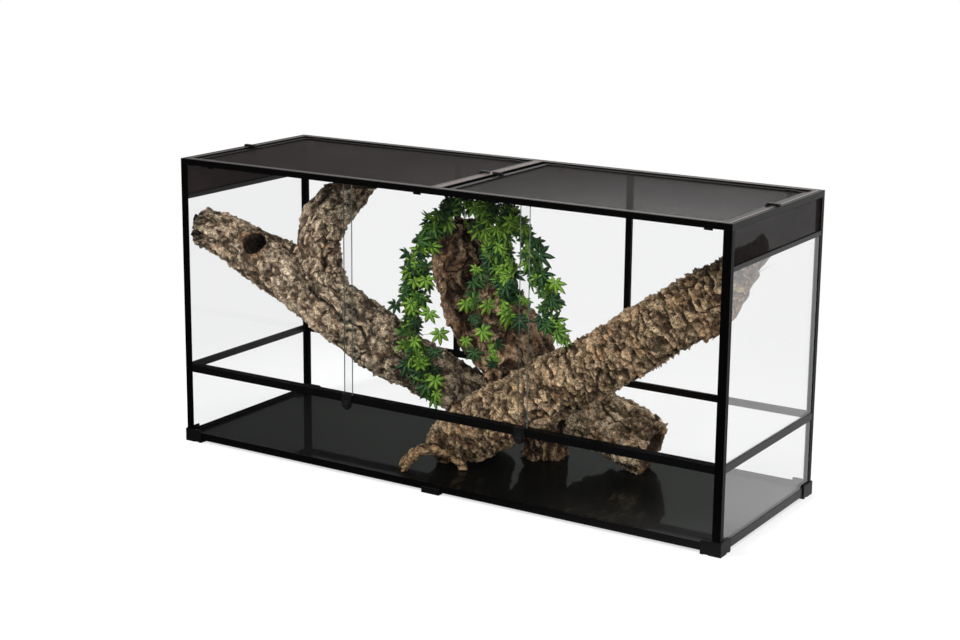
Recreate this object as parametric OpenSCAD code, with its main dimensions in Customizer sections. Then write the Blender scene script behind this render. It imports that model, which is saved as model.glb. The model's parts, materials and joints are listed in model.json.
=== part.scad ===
// Glass reptile terrarium in black aluminium extrusions: three sliding doors at the front,
// two lift-off mesh lids held by turn latches, mesh vents high in the sides,
// cork bark tubes and an artificial vine inside.
// Origin: centre of the outline at floor level. +X right, +Y to the back, +Z up.

/* [Enclosure] */
// Outside width of the frame
width = 1830; // [1790:5:1870]
// Outside depth of the frame
depth = 610; // [600:1:630]
// Height from the floor to the top of the rails
height = 893; // [885:1:910]
// Gap under the bottom rails
ground_gap = 9; // [7:0.5:12]

/* [Extrusions] */
// Wall of the aluminium extrusions
wall = 1.6; // [1.4:0.1:1.8]
// Face of the front corner posts
post_w = 25; // [22:0.5:30]
// Depth of the corner posts along the sides
post_d = 17; // [15:0.5:20]
// Face of the back corner posts
back_post_w = 20; // [18:0.5:24]
// Height of the bottom rails
bottom_rail_h = 23; // [22:0.5:28]
// Reach of the ledge that carries the base panel
base_ledge = 17; // [14:0.5:18]
// Height of the middle rails at the sides and back
mid_rail_h = 21; // [18:0.5:26]
// Underside of the middle rails above the floor
mid_rail_z = 227; // [210:1:245]
// Height of the top rails
top_rail_h = 18; // [17:0.5:22]
// Width of the top rails seen from above
top_rail_w = 26; // [25.6:0.2:30]
// Reach of the ledge that carries the lids
lid_ledge = 8; // [6:0.5:8.5]
// Width of the back mullions
mullion_w = 20; // [16:0.5:26]
// Height of the rail under each side vent
vent_rail_h = 13; // [12:0.5:18]
// Height of the mesh opening in each side vent
vent_h = 96; // [80:1:110]

/* [Glass] */
// Thickness of the fixed panes and the doors
glass_t = 5; // [4:0.5:6]
// Play of a pane in its groove, each side
glass_play = 0.5; // [0.4:0.1:0.8]
// Thickness of the base panel
base_t = 6; // [4:0.5:8]
// Overlap of neighbouring doors
door_overlap = 34; // [24:1:44]
// Height of the lower door track
track_h = 23; // [20:0.5:28]
// Depth of the door grooves
groove_h = 9; // [6:0.5:11]

/* [Lids] */
// Width of the bars round a lid
lid_bar_w = 17; // [15:0.5:20]
// Thickness of the bars round a lid
lid_bar_h = 7; // [6:0.5:7.5]
// Play between a lid and the rails round it
lid_play = 1; // [0.6:0.1:2]
// Extra gap between the right lid and the centre bar
right_lid_gap = 12; // [8:0.5:14]
// Width of the centre bar
centre_bar_w = 32; // [28:1:40]
// Thickness of the mesh
mesh_t = 0.8; // [0.6:0.1:1.2]
// Length of a locating clip
clip_l = 38; // [32:1:44]
// Distance of the locating clips from the lid's ends
clip_inset = 58; // [50:1:80]
// Drop of a locating tab below the top rail
clip_drop = 13; // [8:0.5:16]

/* [Latches] */
// Reach of an outer turn latch over the side rail
outer_reach = 33; // [28:0.5:34]
// Reach of an inner turn latch over the centre bar
inner_reach = 24; // [20:0.5:25]
// Width of a turn latch
latch_w = 12; // [10:0.5:14]
// Height of a turn latch above the rail
latch_h = 6; // [5:0.5:8]

/* [Door locks] */
// Width of a lock body
lock_w = 34; // [30:0.5:40]
// Length of a lock body below the door track
lock_drop = 22; // [21:0.5:28]
// Radius of the turning knob
knob_r = 12; // [10:0.25:13]
// Thickness of the lock body
lock_t = 4; // [3:0.25:5]

/* [Feet] */
// Length of a corner foot along each side
foot_l = 57; // [50:1:66]
// Height of a corner foot
foot_h = 40; // [34:0.5:46]
// Wall of a foot outside the frame
foot_t = 4; // [3:0.25:5]
// Length of the centre feet
centre_foot_l = 60; // [50:1:70]

/* [Bark] */
// Sides of a bark tube
bark_sides = 18; // [14:1:20]
// Depth of the bumps on the bark, as a share of its radius
bark_bumps = 0.05; // [0.02:0.01:0.07]

/* [Hidden] */

$fn = 32;
nudge = 0.3;                                    // running gap between pieces that don't touch
fin_short = 4;                                  // how far an inner fin stops short of its profile's end
ledge_up = 3;                                   // base ledge above the underside of the rails
door_slack = 1;                                 // a door's clear gap at each end of the front
door_lift = 4;                                  // clear gap over the doors
lid_sunk = 4;                                   // top of a lid below the top of the rails
mesh_up = 2;                                    // mesh above the underside of a lid
mesh_play = 0.4;                                // play of the mesh in its slot
clip_in = 6;                                    // middle of a clip from the inner edge of its bar
black = [0.06, 0.06, 0.065];
clear_glass = [0.75, 0.85, 0.85, 0.3];
mesh_grey = [0.2, 0.19, 0.18];
bark_brown = [0.42, 0.35, 0.27];
leaf_green = [0.25, 0.5, 0.15];

slot_w = glass_t + 2 * glass_play;              // groove for one pane
fin_a = wall + slot_w;                          // inner fin, from the outer face
fin_end = fin_a + wall;
track_d = 4 * wall + 3 * slot_w;                // three grooves side by side
pane_a = wall + glass_play;                     // outer face of a pane
pane_edge = fin_end + glass_play;               // first clear place beside a post's fin

ledge_z = ground_gap + ledge_up;                // ledge under the base panel
base_z = ledge_z + wall + nudge;
floor_z = base_z + base_t;                      // top of the base panel
bottom_top = ground_gap + bottom_rail_h;
mid_web = mid_rail_z + mid_rail_h / 2;
mid_top = mid_rail_z + mid_rail_h;
track_z = mid_top - track_h;
track_web = mid_top - groove_h - wall;
rail_z = height - top_rail_h;                   // underside of the top rails
vent_rail_z = rail_z - vent_h - vent_rail_h;
vent_web = vent_rail_z + vent_rail_h / 2;
vent_top = vent_rail_z + vent_rail_h;

door_z = track_web + wall + glass_play;
door_top = height - 3 * wall - door_lift;
door_first = -width / 2 + pane_edge + door_slack; // left edge of the left door
door_w = (-2 * door_first + 2 * door_overlap) / 3;
door_step = door_w - door_overlap;

lid_top = height - lid_sunk;
lid_z = lid_top - lid_bar_h;
lid_seat = lid_z - nudge;                       // top of the ledge
lid_y = depth / 2 - top_rail_w - lid_play;      // outer edge of a lid, front and back
lid_x = width / 2 - top_rail_w - lid_play;      // outer edge of a lid at the side
left_lid = [-lid_x, -centre_bar_w / 2 - lid_play];
right_lid = [centre_bar_w / 2 + right_lid_gap, lid_x];
mesh_grip = 5;                                  // how far the mesh reaches into a bar
mesh_slot = mesh_t + mesh_play;
mesh_z = lid_z + mesh_up;
clip_leg_w = 25;
clip_leg_t = 2;
clip_y = lid_y - lid_bar_w + clip_in;           // middle of a clip, from the centre line

// ---- where a profile is drawn from the outer face inwards (x) and upwards (y) ----

module along_front(from, to)
    translate([from, -depth / 2, 0]) rotate([90, 0, 90]) linear_extrude(to - from) children();

module along_left(from, to)
    translate([-width / 2, to, 0]) rotate([90, 0, 0]) linear_extrude(to - from) children();

module at_back() mirror([0, 1, 0]) children();

module at_right() mirror([1, 0, 0]) children();

module bar(from, to) translate(from) square(to - from);

// ---- corner posts ----

module front_post_profile() {
    square([post_w, wall]);
    square([wall, post_d]);
    bar([fin_a, 0], [fin_end, post_d - fin_short]);
}

module back_post_profile() {
    square([back_post_w, wall]);
    square([wall, post_d]);
    bar([fin_a, fin_a], [fin_end, post_d]);
    bar([0, fin_a], [fin_end, fin_end]);
    bar([0, fin_a], [back_post_w, fin_end]);
}

module front_post()
    translate([-width / 2, -depth / 2, ground_gap])
        linear_extrude(rail_z - ground_gap) front_post_profile();

module back_post()
    translate([-width / 2, depth / 2, ground_gap]) mirror([0, 1, 0])
        linear_extrude(rail_z - ground_gap) back_post_profile();

module post_front_left() color(black) front_post();
module post_front_right() color(black) at_right() front_post();
module post_back_left() color(black) back_post();
module post_back_right() color(black) at_right() back_post();

// ---- bottom rails and base ----

module bottom_rail_profile() {
    bar([0, ground_gap], [wall, bottom_top]);
    bar([0, ledge_z], [base_ledge, ledge_z + wall]);
    bar([fin_a, ledge_z], [fin_end, bottom_top - fin_short]);
}

module bottom_rail_front()
    color(black) along_front(-width / 2 + post_w, width / 2 - post_w) bottom_rail_profile();

module bottom_rail_back()
    color(black) at_back()
        along_front(-width / 2 + back_post_w, width / 2 - back_post_w) bottom_rail_profile();

module side_bottom_rail() along_left(-depth / 2 + post_d, depth / 2 - post_d) bottom_rail_profile();

module bottom_rail_left() color(black) side_bottom_rail();
module bottom_rail_right() color(black) at_right() side_bottom_rail();

module base_panel() {
    half_w = width / 2 - pane_edge;
    half_d = depth / 2 - pane_edge;
    corner = post_d - pane_edge + nudge;        // keeps the corners clear of the posts' fins
    color([0.05, 0.05, 0.06]) translate([0, 0, base_z]) linear_extrude(base_t)
        difference() {
            square([2 * half_w, 2 * half_d], center = true);
            for (sx = [-1, 1], sy = [-1, 1])
                translate([sx * half_w, sy * half_d]) square(2 * corner, center = true);
        }
}

// ---- door tracks ----

module lower_track_profile() {
    for (i = [0:3])
        translate([i * (wall + slot_w), track_web]) square([wall, groove_h + wall]);
    bar([0, track_web], [track_d, track_web + wall]);
    bar([0, track_z], [wall, track_web]);
    bar([fin_a, track_z + 2], [fin_end, track_web]);
    bar([track_d - wall, track_z + 6], [track_d, track_web]);
}

module cam_notch(x)
    translate([x, -depth / 2 + wall / 2, track_z])
        cube([12, 3 * wall, 9], center = true);

module door_track_lower()
    color(black) difference() {
        along_front(-width / 2 + post_w, width / 2 - post_w) lower_track_profile();
        for (x = lock_x) cam_notch(x);
    }

module upper_track_profile() {
    bar([wall + nudge, height - 2 * wall - nudge], [track_d, height - wall - nudge]);
    for (i = [1:3])
        translate([i * (wall + slot_w), rail_z]) square([wall, top_rail_h - wall - nudge]);
}

module door_track_upper()
    color(black) along_front(-width / 2 + post_w, width / 2 - post_w) upper_track_profile();

// ---- middle rails and mullions ----

module mid_rail_profile() {
    bar([0, mid_rail_z], [wall, mid_top]);
    bar([fin_a, mid_rail_z], [fin_end, mid_top]);
    bar([0, mid_web - wall / 2], [fin_end, mid_web + wall / 2]);
}

module side_mid_rail() along_left(-depth / 2 + post_d, depth / 2 - post_d) mid_rail_profile();

module mid_rail_left() color(black) side_mid_rail();
module mid_rail_right() color(black) at_right() side_mid_rail();

module mid_rail_back()
    color(black) at_back()
        along_front(-width / 2 + back_post_w, width / 2 - back_post_w) mid_rail_profile();

module mullion_profile() {
    translate([-mullion_w / 2, 0]) square([mullion_w, wall]);
    translate([-mullion_w / 2, fin_a]) square([mullion_w, wall]);
    translate([-wall / 2, 0]) square([wall, fin_end]);
}

module back_mullions()
    color(black) for (side = [-1, 1])
        translate([side * width / 6, depth / 2, mid_top]) mirror([0, 1, 0])
            linear_extrude(rail_z - mid_top) mullion_profile();

// ---- top rails and centre bar ----

module top_rail_profile(inner_fin) {
    bar([0, rail_z], [wall, height]);
    bar([0, height - wall], [top_rail_w, height]);
    bar([top_rail_w - wall, lid_seat - wall], [top_rail_w, height]);
    bar([top_rail_w - wall, lid_seat - wall], [top_rail_w + lid_ledge, lid_seat]);
    if (inner_fin) bar([fin_a, rail_z], [fin_end, height]);
}

// outline from above of a rail whose ends are mitred
module mitre(length)
    translate([0, 0, rail_z - 1]) linear_extrude(top_rail_h + 2)
        polygon([[-length / 2, 0], [length / 2, 0],
                 [length / 2 - top_rail_w - lid_ledge, top_rail_w + lid_ledge],
                 [-length / 2 + top_rail_w + lid_ledge, top_rail_w + lid_ledge]]);

module long_top_rail(inner_fin)
    intersection() {
        along_front(-width / 2, width / 2) top_rail_profile(inner_fin);
        translate([0, -depth / 2, 0]) mitre(width);
    }

module side_top_rail()
    intersection() {
        along_left(-depth / 2, depth / 2) top_rail_profile(true);
        translate([-width / 2, 0, 0]) rotate(-90) mitre(depth);
    }

module top_rail_front() color(black) long_top_rail(false);
module top_rail_back() color(black) at_back() long_top_rail(true);
module top_rail_left() color(black) side_top_rail();
module top_rail_right() color(black) at_right() side_top_rail();

module centre_bar_profile() {
    half = centre_bar_w / 2;
    left_ledge = half + lid_ledge;
    right_ledge = half + right_lid_gap + lid_ledge;
    difference() {
        union() {
            bar([-half, height - 2 * wall], [half, height]);
            bar([-half, lid_seat - wall], [-half + wall, height]);
            bar([half - wall, lid_seat - wall], [half, height]);
            bar([-left_ledge, lid_seat - wall], [-half + wall, lid_seat]);
            bar([half - wall, lid_seat - wall], [right_ledge, lid_seat]);
        }
        for (x = [-half / 2, 0, half / 2])
            translate([x, height]) square(wall, center = true);
    }
}

module centre_bar() {
    inside = depth / 2 - top_rail_w;
    color(black) difference() {
        translate([0, inside, 0]) rotate([90, 0, 0]) linear_extrude(2 * inside) centre_bar_profile();
        for (side = [-1, 1])                    // the ends rest on the rails' ledges
            translate([0, side * inside, lid_seat - wall])
                cube([width / 4, 2 * lid_ledge, 2 * wall + 0.02], center = true);
    }
}

// ---- side vents ----

module vent_rail_profile() {
    bar([0, vent_rail_z], [wall, vent_top]);
    bar([fin_a, vent_rail_z], [fin_end, vent_top]);
    bar([0, vent_web - wall / 2], [fin_end, vent_web + wall / 2]);
}

module side_vent_rail() along_left(-depth / 2 + post_d, depth / 2 - post_d) vent_rail_profile();

module vent_rail_left() color(black) side_vent_rail();
module vent_rail_right() color(black) at_right() side_vent_rail();

module side_vent_mesh() {
    low = vent_web + wall / 2 + nudge;
    high = height - wall - nudge;
    rim = 6;
    translate([-width / 2 + pane_a, -depth / 2 + pane_edge, low]) {
        translate([1, 0, 0]) cube([mesh_t, depth - 2 * pane_edge, high - low]);
        difference() {
            cube([3, depth - 2 * pane_edge, high - low]);
            translate([-1, rim, rim]) cube([5, depth - 2 * pane_edge - 2 * rim, high - low - 2 * rim]);
        }
    }
}

module vent_mesh_left() color(mesh_grey) side_vent_mesh();
module vent_mesh_right() color(mesh_grey) at_right() side_vent_mesh();

// ---- fixed glass ----

module side_panes()
    translate([-width / 2 + pane_a, -depth / 2 + pane_edge, 0]) {
        length = depth - 2 * pane_edge;
        lower = ledge_z + wall + nudge;
        upper = mid_web + wall / 2 + nudge;
        translate([0, 0, lower]) cube([glass_t, length, mid_web - wall / 2 - nudge - lower]);
        translate([0, 0, upper]) cube([glass_t, length, vent_web - wall / 2 - nudge - upper]);
    }

module panes_left() color(clear_glass) side_panes();
module panes_right() color(clear_glass) at_right() side_panes();

module panes_back_upper() {
    edges = [-width / 2 + pane_edge + nudge, -width / 6, width / 6, width / 2 - pane_edge - nudge];
    low = mid_web + wall / 2 + nudge;
    high = height - wall - nudge;
    web = wall / 2 + nudge;
    color(clear_glass) for (i = [0:2]) {
        x0 = edges[i] + (i == 0 ? 0 : web);
        x1 = edges[i + 1] - (i == 2 ? 0 : web);
        translate([x0, depth / 2 - pane_a - glass_t, low]) cube([x1 - x0, glass_t, high - low]);
    }
}

module lower_long_pane(top) {
    half = width / 2 - pane_edge - nudge;
    low = ledge_z + wall + nudge;
    translate([-half, -depth / 2 + pane_a, low]) cube([2 * half, glass_t, top - low]);
}

module pane_back_lower() color(clear_glass) at_back() lower_long_pane(mid_web - wall / 2 - nudge);
module pane_front_lower() color(clear_glass) lower_long_pane(track_web - nudge);

// ---- sliding doors: i counts the doors from the left and the grooves from the front ----

module door(i)
    color(clear_glass)
        translate([door_first + i * door_step, -depth / 2 + pane_a + i * (wall + slot_w), door_z])
            cube([door_w, glass_t, door_top - door_z]);

module door_left() door(0);
module door_centre() door(1);
module door_right() door(2);

// ---- feet ----

module corner_foot_outline(length, inset)
    difference() {
        translate([-foot_t + inset, -foot_t + inset])
            square([length + foot_t - inset, length + foot_t - inset]);
        translate([length - foot_t * 2, length - foot_t * 2]) square(length);
    }

module corner_foot()
    translate([-width / 2, -depth / 2, 0]) difference() {
        union() {
            linear_extrude(foot_h - 2) corner_foot_outline(foot_l, 0);
            translate([0, 0, foot_h - 2]) linear_extrude(2) corner_foot_outline(foot_l - 2, 1);
        }
        translate([0, 0, ground_gap]) cube([foot_l * 2, foot_l * 2, foot_h]);
        translate([post_w + 8, -foot_t - 1, -1]) cube([foot_l - post_w - 18, foot_t, 4]);
        translate([-foot_t - 1, post_w + 8, -1]) cube([foot_t, foot_l - post_w - 18, 4]);
    }

module foot_front_left() color(black) corner_foot();
module foot_front_right() color(black) at_right() corner_foot();
module foot_back_left() color(black) at_back() corner_foot();
module foot_back_right() color(black) at_back() at_right() corner_foot();

module centre_foot()
    translate([-centre_foot_l / 2, -depth / 2 - foot_t, 0]) {
        cube([centre_foot_l, base_ledge + foot_t, ground_gap]);
        cube([centre_foot_l, foot_t, ground_gap + 8]);
    }

module centre_feet() color(black) {
    centre_foot();
    at_back() centre_foot();
}

// ---- door locks ----

lock_x = [for (i = [1, 2]) door_first + i * door_step + door_overlap / 2];
lock_axis_z = track_z - lock_drop + lock_w / 2;
lock_top = mid_top + 3;

module lock_body(x)
    translate([x, -depth / 2 - nudge, lock_axis_z]) rotate([90, 0, 0]) difference() {
        union() {
            linear_extrude(lock_t) {
                circle(lock_w / 2, $fn = 64);
                translate([-lock_w / 2, 0]) square([lock_w, lock_top - lock_axis_z]);
            }
        }
        translate([0, 0, lock_t / 2]) cylinder(r = knob_r + nudge, h = lock_t, $fn = 64);
        translate([0, 0, -1]) cylinder(r = 3.05, h = lock_t + 2, $fn = 32);
    }

module lock_bodies() color(black) for (x = lock_x) lock_body(x);

module lock_knob(x)
    translate([x, -depth / 2 - nudge, lock_axis_z]) rotate([90, 0, 0]) {
        translate([0, 0, lock_t / 2 + nudge]) cylinder(r = knob_r, h = lock_t / 2 + 2, $fn = 64);
        translate([-knob_r + 1.5, -2, lock_t / 2 + nudge]) cube([2 * knob_r - 3, 4, lock_t / 2 + 6]);
        translate([0, 0, -0.8]) cylinder(r = 3, h = lock_t, $fn = 32);
        translate([-4, -3.5, -0.8 - 1.4]) cube([lock_w / 2 - 1, 7, 1.4]);
    }

module lock_knob_left() color(black) lock_knob(lock_x[0]);
module lock_knob_right() color(black) lock_knob(lock_x[1]);

// ---- lids ----

module clip_slot(x, y)
    translate([x, y, lid_z - 1])
        translate([-clip_leg_w / 2 - nudge, -clip_leg_t / 2 - nudge / 2, 0])
            cube([clip_leg_w + 2 * nudge, clip_leg_t + nudge, lid_bar_h + 2]);

function clip_places(lid) =
    [for (x = [lid[0] + clip_inset, lid[1] - clip_inset], y = [-clip_y, clip_y]) [x, y]];

module lid_frame(lid) {
    length = lid[1] - lid[0];
    middle = (lid[0] + lid[1]) / 2;
    translate([middle, 0, lid_z]) difference() {
        translate([-length / 2, -lid_y, 0]) cube([length, 2 * lid_y, lid_bar_h]);
        translate([0, 0, lid_bar_h / 2])
            cube([length - 2 * lid_bar_w, 2 * (lid_y - lid_bar_w), lid_bar_h + 2], center = true);
        translate([0, 0, mesh_z - lid_z + mesh_t / 2])
            cube([length - 2 * (lid_bar_w - mesh_grip - 0.5),
                  2 * (lid_y - lid_bar_w + mesh_grip + 0.5), mesh_slot], center = true);
        translate([-middle, 0, -lid_z]) for (p = clip_places(lid)) clip_slot(p[0], p[1]);
    }
}

module lid_mesh(lid)
    translate([(lid[0] + lid[1]) / 2, 0, mesh_z + mesh_t / 2]) difference() {
        cube([lid[1] - lid[0] - 2 * (lid_bar_w - mesh_grip),
              2 * (lid_y - lid_bar_w + mesh_grip), mesh_t], center = true);
        for (p = clip_places(lid))
            translate([p[0] - (lid[0] + lid[1]) / 2, p[1], 0])
                cube([clip_leg_w + 2, clip_leg_t + 2, 2], center = true);
    }

module lid_clip(p)
    translate([p[0], p[1], 0]) {
        translate([-clip_l / 2, -4, lid_top]) cube([clip_l, 8, 1.6]);
        translate([-clip_leg_w / 2, -clip_leg_t / 2, rail_z - clip_drop])
            cube([clip_leg_w, clip_leg_t, lid_top - rail_z + clip_drop]);
    }

module lid_clips(lid) for (p = clip_places(lid)) lid_clip(p);

// A turn latch: pivots on the lid's bar and reaches over the rail beside it.
module latch(x, reach, way) {
    foot_z = lid_top + nudge;
    over_z = height + nudge;
    translate([x, 0, 0]) mirror([way < 0 ? 1 : 0, 0, 0]) {
        translate([0, 0, foot_z]) cylinder(r = latch_w / 2, h = over_z + latch_h - foot_z, $fn = 48);
        translate([-lid_bar_w / 2, -latch_w / 2, foot_z])
            cube([lid_bar_w / 2, latch_w, over_z + 1.5 - foot_z]);
        translate([0, 0, over_z]) hull() {
            translate([0, -latch_w / 2, 0]) cube([reach, latch_w, latch_h - 1.5]);
            translate([1, -latch_w / 2 + 1, 0]) cube([reach - 2, latch_w - 2, latch_h]);
        }
    }
}

latch_x = [left_lid[0] + lid_bar_w / 2, left_lid[1] - lid_bar_w / 2,
           right_lid[0] + lid_bar_w / 2, right_lid[1] - lid_bar_w / 2];

module lid_frame_left() color(black) lid_frame(left_lid);
module lid_mesh_left() color(mesh_grey) lid_mesh(left_lid);
module lid_clips_left() color(black) lid_clips(left_lid);
module latch_left_outer() color(black) latch(latch_x[0], outer_reach, -1);
module latch_left_inner() color(black) latch(latch_x[1], inner_reach, 1);
module lid_frame_right() color(black) lid_frame(right_lid);
module lid_mesh_right() color(mesh_grey) lid_mesh(right_lid);
module lid_clips_right() color(black) lid_clips(right_lid);
module latch_right_inner() color(black) latch(latch_x[2], inner_reach, -1);
module latch_right_outer() color(black) latch(latch_x[3], outer_reach, 1);

// ---- cork bark: places are measured from the front left corner of the floor ----

bark_room = [1830, 610, 873];                   // room that the bark was cut to fit
bark_top = 800;                                 // the tallest tube was sawn off at this height
knot_at = [208, 90, 619];
knot_r = 33;
knot_depth = 58;
knot_turn = [48, 0, 12];

function seat(p) =
    let (room = [width, depth, height - floor_z])
    [p[0] * room[0] / bark_room[0] - width / 2,
     p[1] * room[1] / bark_room[1] - depth / 2,
     p[2] * room[2] / bark_room[2] + floor_z];

function unit(v) = v / norm(v);

function heading(path, i) =
    unit(path[min(i + 1, len(path) - 1)] - path[max(i - 1, 0)]);

// radius round the tube: slow ridges that wind along it
function bump(a, i, seed) =
    1 + (seed == 0 ? 0 : bark_bumps) * (sin(3 * a + 47 * i + seed) + 0.7 * sin(5 * a - 83 * i + 2 * seed));

// side direction of a ring, square to the path
function ring_side(t, up) = unit(cross(t, up));

function ring(path, i, r, seed, up, n) =
    let (t = heading(path, i), s = ring_side(t, up), u = cross(s, t))
    [for (k = [0:n - 1]) let (a = 360 * k / n)
        path[i] + r * bump(a, i, seed) * (s * cos(a) + u * sin(a))];

// a closed tube along the path, its radius given at each point; seed 0 leaves it smooth
module sweep(path, radii, seed, up = [0, 0, 1], n = bark_sides) {
    m = len(path);
    points = [for (i = [0:m - 1]) each ring(path, i, radii[i], seed, up, n)];
    walls = [for (i = [0:m - 2], k = [0:n - 1]) let (k1 = (k + 1) % n)
        each [[i * n + k, (i + 1) * n + k1, (i + 1) * n + k],
              [i * n + k, i * n + k1, (i + 1) * n + k1]]];
    polyhedron(points, concat(walls, [[for (k = [n - 1:-1:0]) k]],
                              [[for (k = [0:n - 1]) (m - 1) * n + k]]));
}

function places(path) = [for (p = path) seat(p)];

module room_box() {
    corner = [width / 2 - fin_end - 1, depth / 2 - fin_end - 1, 0];
    low = floor_z + nudge;
    high = seat([0, 0, bark_top])[2];
    translate([0, 0, low] - corner) cube(2 * corner + [0, 0, high - low]);
}

forked_main = [[-30, 86, 640], [60, 106, 626], [150, 128, 588], [320, 160, 503], [470, 192, 402],
               [620, 260, 288], [740, 335, 205], [835, 382, 130], [884, 396, 18]];
forked_radii = [47, 54, 67, 83, 84, 82, 74, 70, 66];
forked_side = [[430, 185, 420], [385, 195, 520], [362, 205, 610], [378, 222, 690], [422, 245, 758],
               [458, 258, 803]];
side_radii = [72, 68, 68, 72, 66, 60];

module cork_forked()
    color(bark_brown) intersection() {
        difference() {
            union() {
                sweep(places(forked_main), forked_radii, 20);
                sweep(places(forked_side), side_radii, 140, [1, 0, 0]);
            }
            translate(seat(knot_at)) rotate(knot_turn)
                cylinder(r = knot_r, h = 2 * knot_depth, center = true, $fn = 24);
        }
        room_box();
    }

trunk_path = [[1040, 440, -40], [1036, 442, 60], [1006, 446, 170], [942, 446, 290], [864, 442, 370],
              [808, 438, 450], [766, 434, 530], [742, 430, 605], [730, 428, 672]];
trunk_radii = [62, 66, 94, 117, 122, 113, 101, 88, 64];

module cork_trunk()
    color(bark_brown) intersection() {
        sweep(places(trunk_path), trunk_radii, 75, [0, 1, 0]);
        room_box();
    }

long_path = [[786, 232, 30], [850, 233, 74], [915, 234, 112], [1000, 236, 162], [1150, 242, 256],
             [1300, 256, 356], [1450, 294, 460], [1570, 336, 546], [1680, 380, 626],
             [1850, 440, 750]];
long_radii = [50, 76, 86, 86, 82, 82, 84, 82, 80, 90];
long_cut_at = [1702, 400, 650];
long_cut_turn = [0, 27, 33];

module cork_long()
    color(bark_brown) intersection() {
        difference() {
            sweep(places(long_path), long_radii, 200);
            arch_room();
            translate(seat(long_cut_at)) rotate(long_cut_turn)
                translate([0, -width / 4, -width / 4]) cube(width / 2);
        }
        room_box();
    }

log_path = [[1150, 458, 164], [1215, 460, 138], [1300, 464, 104], [1390, 468, 74]];
log_radii = [80, 88, 92, 84];
log_bore_r = 52;
log_bore_l = 60;
log_turn = [0, 110, 3];

module cork_log()
    color(bark_brown) difference() {
        intersection() {
            sweep(places(log_path), log_radii, 310);
            room_box();
        }
        translate(seat(log_path[3])) rotate(log_turn)
            cylinder(r = log_bore_r, h = 2 * log_bore_l, center = true, $fn = 24);
    }

arch_at = [846, 119, 0];
arch_r = 100;
arch_sunk = 38;                                 // the arc's centre lies this far under the floor
arch_wall = 20;
arch_l = 75;
arch_turn = 37;

// a bark off-cut standing as a low arch, with its mouth to the front
module arch_shell(outer, inner, length)
    translate(seat(arch_at) + [0, 0, nudge]) rotate([0, 0, arch_turn]) rotate([90, 0, 180])
        linear_extrude(length) difference() {
            intersection() {
                translate([0, -arch_sunk]) circle(outer, $fn = 48);
                translate([-outer, 0]) square([2 * outer, outer]);
            }
            translate([0, -arch_sunk]) circle(inner, $fn = 48);
        }

// space that the arch takes under the long tube
module arch_room()
    translate([-3 * sin(arch_turn), -3 * cos(arch_turn), -2 * nudge])
        arch_shell(arch_r + 3, 1, arch_l + 6);

module cork_arch() color(bark_brown) arch_shell(arch_r, arch_r - arch_wall, arch_l);

// ---- artificial vine ----

leaf_l = 46;
leaf_t = 1.2;
stem_r = 2.5;
lobes = 3;                                      // lobes each side of the middle one
lobe_turn = 42;

function lobe_tip(k) = leaf_l * (1 - 0.1 * abs(k)) * [cos(k * lobe_turn), sin(k * lobe_turn)];
function lobe_notch(k) = leaf_l * 0.3 * [cos((k + 0.5) * lobe_turn), sin((k + 0.5) * lobe_turn)];

// narrow lobes fanned round the stalk
module leaf()
    linear_extrude(leaf_t)
        polygon(concat([[-3, 0]], [for (k = [-lobes:lobes])
            each (k < lobes ? [lobe_tip(k), lobe_notch(k)] : [lobe_tip(k)])]));

vine_left = [[745, 425, 640], [785, 370, 735], [800, 290, 770], [730, 240, 704], [705, 210, 615],
             [706, 190, 513], [717, 180, 411], [752, 170, 313], [800, 165, 232]];
vine_right = [[800, 290, 770], [880, 285, 782], [958, 270, 785], [1056, 250, 747], [1100, 240, 658],
              [1142, 235, 577], [1179, 230, 495], [1212, 230, 435]];
vine_mid = [[880, 285, 782], [941, 270, 723], [960, 240, 641], [921, 220, 551], [939, 220, 464],
            [991, 220, 397], [1001, 220, 325]];

// a leaf hanging from the stem, turned its own way
module hung_leaf(place, turn)
    translate(place) rotate([72 + 14 * sin(97 * turn), 20 * sin(61 * turn), 20 * cos(53 * turn)])
        rotate(-90 + 40 * sin(31 * turn)) leaf();

// a stem with a leaf at each of its points, and one on either side halfway to the next
module strand(path, seed) {
    stem = places(path);
    sweep(stem, [for (p = stem) stem_r], 0, [0.1, 1, 0.2], 6);
    for (i = [1:len(stem) - 1]) {
        hung_leaf(stem[i], seed + i);
        middle = (stem[i - 1] + stem[i]) / 2;
        for (side = [-1, 1])
            hung_leaf(middle + side * [stem_r, 0, 0], seed + i + side * 45);
    }
}

// three stems from one root, which stands on the upright tube's top
module vine() color(leaf_green) difference() {
    union() {
        strand(vine_left, 10);
        strand(vine_right, 120);
        strand(vine_mid, 230);
    }
    translate([0, 0, nudge]) cork_trunk();
}

post_front_left();
post_front_right();
post_back_left();
post_back_right();
bottom_rail_front();
bottom_rail_back();
bottom_rail_left();
bottom_rail_right();
base_panel();
door_track_lower();
door_track_upper();
mid_rail_left();
mid_rail_right();
mid_rail_back();
back_mullions();
top_rail_front();
top_rail_back();
top_rail_left();
top_rail_right();
centre_bar();
vent_rail_left();
vent_rail_right();
vent_mesh_left();
vent_mesh_right();
panes_left();
panes_right();
panes_back_upper();
pane_back_lower();
pane_front_lower();
foot_front_left();
foot_front_right();
foot_back_left();
foot_back_right();
centre_feet();
lock_bodies();
lock_knob_left();
lock_knob_right();
door_left();
door_centre();
door_right();
lid_frame_left();
lid_mesh_left();
lid_clips_left();
latch_left_outer();
latch_left_inner();
lid_frame_right();
lid_mesh_right();
lid_clips_right();
latch_right_inner();
latch_right_outer();
cork_forked();
cork_trunk();
cork_long();
cork_log();
cork_arch();
vine();
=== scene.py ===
import json
import bpy
import numpy as np
from mathutils import Matrix, Vector


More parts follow.
